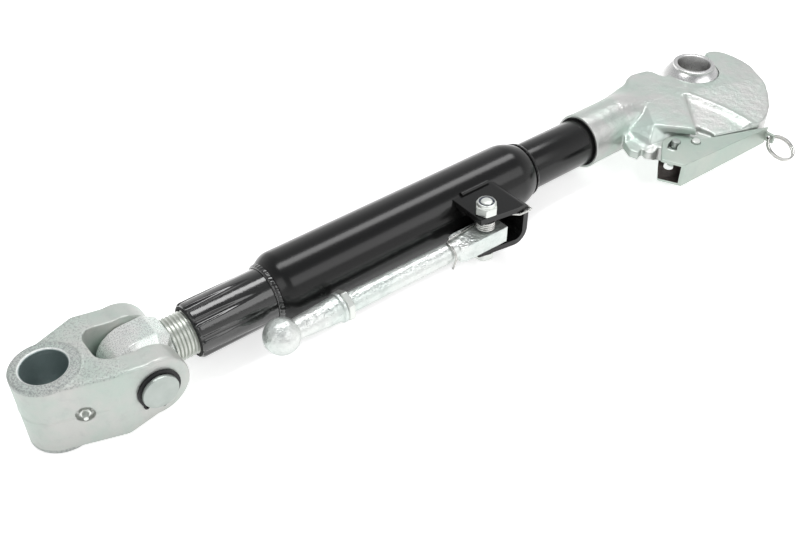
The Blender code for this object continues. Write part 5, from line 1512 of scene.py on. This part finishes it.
@dataclass
class Latch:
    """Pawl, release lever with its pins, and the pull ring."""

    taper_start: float = 0.610
    lever_end: float = 0.672
    end_share: float = 0.86
    web_half: float = 0.0075
    wire: float = 0.00115
    wire_gap: float = 0.0020
    turn_step: float = 0.0003

    def build_lever(self) -> Piece:
        """Bends the lever's channel, a little lower towards its far end.

        Returns:
            The lever.
        """
        lever = deburred("release", "release_lever", Edges(0.0006))
        for vertex, local in vertices_of(lever):
            along = (local.x - self.taper_start) / (self.lever_end - self.taper_start)
            share = 1.0 - (1.0 - self.end_share) * min(max(along, 0.0), 1.0) ** 3
            vertex.co.z = LINK_ORIGIN.z + local.z * share
        return lever

    def paint_channel_shade(self, lever: Piece) -> None:
        """Paints shade into the inside of the channel: a dark brown second material on its inner faces.

        Args:
            lever: The dressed lever.
        """
        lever.data.materials.append(Finish.BARE.material())
        for face in lever.data.polygons:
            height = face.center.z - LINK_ORIGIN.z
            flange = face.normal.z * height < -0.5 * abs(height)
            web = face.normal.y > 0.5 and abs(height) < self.web_half
            if flange or web:
                face.material_index = 1

    def build_ring(self) -> Piece:
        """Winds the pull ring, a split ring of two turns.

        Returns:
            The ring.
        """
        low, high = (Vector(corner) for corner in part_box("pull_ring"))
        middle = (low + high) / 2
        radius = (high.x - low.x) / 2 - self.wire
        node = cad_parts["pull_ring"].data
        top = max((vertex.co for vertex in node.vertices), key=lambda co: co.z)
        slope = Vector((0.0, top.y - middle.y, top.z - middle.z)).normalized()
        level = Vector(Axis.ALONG.value)
        across = slope.cross(level).normalized()
        place = Matrix((level, slope, across)).transposed().to_4x4()
        turns = []
        for side, size in ((-1.0, radius), (1.0, radius - self.turn_step)):
            clear_selection()
            bpy.ops.mesh.primitive_torus_add(major_radius=size, minor_radius=self.wire,
                                             major_segments=96, minor_segments=14)
            turns.append(just_added("ring"))
            shift = across * side * self.wire_gap / 2
            seat(turns[-1], Matrix.Translation(middle + shift) @ place)
        ring, second = turns
        select_only(ring)
        second.select_set(True)
        bpy.ops.object.join()
        clean_shell(ring, 80.0)
        return ring

    def build(self) -> None:
        """Builds and dresses the latch."""
        # The pawl sits inside the channel and takes the same painted shade brown.
        fit_node("pawl", "latch_pawl", Finish.BARE, "pawl", 0.0006)
        fit_node("link_pin", "lever_link_pin", Finish.BRIGHT, "pawl")
        lever = fit(self.build_lever(), Finish.CHANNEL, "release", "release_lever")
        # Painted shade on the channel's inner faces.
        self.paint_channel_shade(lever)
        fit(self.build_ring(), Finish.SPRING, "ring", "pull_ring")


@dataclass
class GuideBall:
    """Ball with its bore and flat collars."""

    centre: float = 0.688
    radius: float = 0.032
    bore: float = 0.0162
    collar: float = 0.0208
    half_width: float = 0.0275
    edge: float = 0.0012
    groove: float = 0.0006
    rows: int = 18

    def build(self) -> None:
        """Builds and dresses the ball."""
        edge, half = self.edge, self.half_width
        root = math.sqrt(self.radius ** 2 - self.collar ** 2)
        upper = [(self.bore, 0.0), *reversed(soft_corner(self.bore, half, -edge, edge)),
                 (self.collar - edge * 0.7, half), (self.collar - edge * 0.2, half - edge * 0.2),
                 (self.collar, half - edge * 0.7), (self.collar, root + 0.0012),
                 (self.collar - self.groove, root + 0.0009), (self.collar - self.groove, root + 0.0003)]
        start = math.asin(self.collar / self.radius)
        for step in range(1, self.rows):
            angle = start + (math.pi / 2 - start) * step / self.rows
            upper.append((self.radius * math.sin(angle), self.radius * math.cos(angle)))
        lower = [(radius, -height) for radius, height in reversed(upper[1:])]
        profile = upper + [(self.radius, 0.0)] + lower + upper[:1]
        ball = turned("ball", profile, Axis.UP, (self.centre, 0.0, 0.0), 32.0, 128)
        fit(ball, Finish.STEEL, "ball", "guide_ball")


@dataclass(frozen=True)
class Lamp:
    """Soft oblong lamp that looks at the link."""

    name: str
    place: Point
    size: Pair
    power: float

    def build(self) -> None:
        """Hangs the lamp."""
        bpy.ops.object.light_add(type="AREA", location=self.place)
        lamp = just_added(self.name)
        lamp.data.shape = "RECTANGLE"
        lamp.data.size, lamp.data.size_y = self.size
        lamp.data.energy = self.power
        look = Vector(self.place).normalized()
        level = Vector((1.0, 0.0, 0.0)) - look * look.x
        basis = Matrix((level.normalized(), look.cross(level).normalized(), look)).transposed()
        lamp.rotation_euler = basis.to_euler()


@dataclass
class Studio:
    """Pale floor, soft light and the photograph's camera."""

    azimuth: float = -37.83
    elevation: float = 40.88
    roll: float = -0.2
    focal: float = 43.79
    sensor: float = 36.0
    place: Point = (-0.08868, -0.51232, 0.51857)
    floor_level: float = -0.0006
    floor_lift: float = 0.62
    soft_light: float = 0.40
    white: Colour = (1.0, 1.0, 1.0)
    ceiling: Colour = (0.30, 0.31, 0.32)
    lamps: tuple[Lamp, ...] = (Lamp("key", (0.25, 0.36, 1.42), (1.9, 0.42), 14.5),
                               Lamp("front", (0.55, -1.25, 1.20), (1.7, 0.8), 7.5),
                               Lamp("side", (-1.1, -0.5, 0.8), (0.7, 0.7), 2.0))

    def set_camera(self) -> None:
        """Places the camera where the photograph was taken from."""
        turn, lift, lean = (math.radians(value) for value in (self.azimuth, self.elevation, self.roll))
        back = Vector((math.sin(turn) * math.cos(lift), -math.cos(turn) * math.cos(lift),
                       math.sin(lift)))
        right = (-back).cross(Vector((0.0, 0.0, 1.0))).normalized()
        up = right.cross(-back)
        side = right * math.cos(lean) + up * math.sin(lean)
        over = up * math.cos(lean) - right * math.sin(lean)
        bpy.ops.object.camera_add()
        camera = bpy.context.object
        camera.data.lens = self.focal
        camera.data.sensor_width = self.sensor
        camera.data.sensor_fit = "HORIZONTAL"
        camera.data.clip_start = 0.01
        camera.data.clip_end = 50.0
        basis = Matrix((side, over, back)).transposed().to_4x4()
        camera.matrix_world = Matrix.Translation(at(*self.place)) @ basis
        bpy.context.scene.camera = camera

    def build_floor(self) -> None:
        """Lays the pale floor under the link, white for the eye and in reflections."""
        clear_selection()
        bpy.ops.mesh.primitive_circle_add(vertices=96, radius=6.0, fill_type="NGON",
                                          location=(0.0, 0.0, self.floor_level))
        floor = just_added("floor")
        seat(floor, floor.matrix_world.copy())
        nodes = Nodes("studio_floor")
        nodes.set(Base_Color=(0.90, 0.90, 0.90, 1.0), Roughness=0.9, Specular_IOR_Level=0.0,
                  Emission_Color=(*self.white, 1.0))
        rays = nodes.add("ShaderNodeLightPath").outputs
        seen = nodes.calc("MAXIMUM", rays["Is Camera Ray"], rays["Is Glossy Ray"])
        seen = nodes.calc("MAXIMUM", seen, rays["Is Transmission Ray"])
        lift = nodes.calc("MULTIPLY", seen, self.floor_lift)
        nodes.link(lift, nodes.shader.inputs["Emission Strength"])
        floor.data.materials.append(nodes.owner)

    def set_world(self) -> None:
        """Surrounds the scene with white for the eye and soft light for the object."""
        sky = Tree(bpy.data.worlds.new("studio"))
        sky.tree.nodes.clear()
        rays = sky.add("ShaderNodeLightPath").outputs
        split = sky.add("ShaderNodeSeparateXYZ")
        sky.link(sky.add("ShaderNodeTexCoord").outputs["Generated"], split.inputs[0])
        fade = sky.ramp(split.outputs["Z"], [(0.12, self.white), (0.85, self.ceiling)])
        soft, mirrored, seen = (sky.add("ShaderNodeBackground", Strength=strength)
                                for strength in (self.soft_light, 1.0, 1.0))
        sky.link(fade, mirrored.inputs["Color"])
        shader = soft.outputs[0]
        for name, light in (("Is Glossy Ray", mirrored), ("Is Transmission Ray", mirrored),
                            ("Is Camera Ray", seen)):
            mix = sky.add("ShaderNodeMixShader")
            for target, source in zip(mix.inputs, (rays[name], shader, light.outputs[0])):
                sky.link(source, target)
            shader = mix.outputs[0]
        sky.link(shader, sky.add("ShaderNodeOutputWorld").inputs["Surface"])
        bpy.context.scene.world = sky.owner

    def build(self) -> None:
        """Builds the studio."""
        bpy.context.scene.view_settings.view_transform = "Standard"
        self.set_camera()
        self.build_floor()
        self.set_world()
        for lamp in self.lamps:
            lamp.build()


def main() -> None:
    """Builds every part of the link and its studio in order."""
    logging.basicConfig(level=logging.INFO, format="%(name)s: %(message)s")
    Knuckle().build()
    KnuckleSpindle("left_thread", "knuckle_spindle", "spindle", 0.0883, 0.262, -1).build()
    Turnbuckle().build()
    Handle().build()
    Spindle("right_thread", "hook_spindle", "hook", 0.398, 0.5995, 1).build()
    Hook().build()
    Latch().build()
    GuideBall().build()
    Studio().build()


if __name__ == "__main__":
    main()
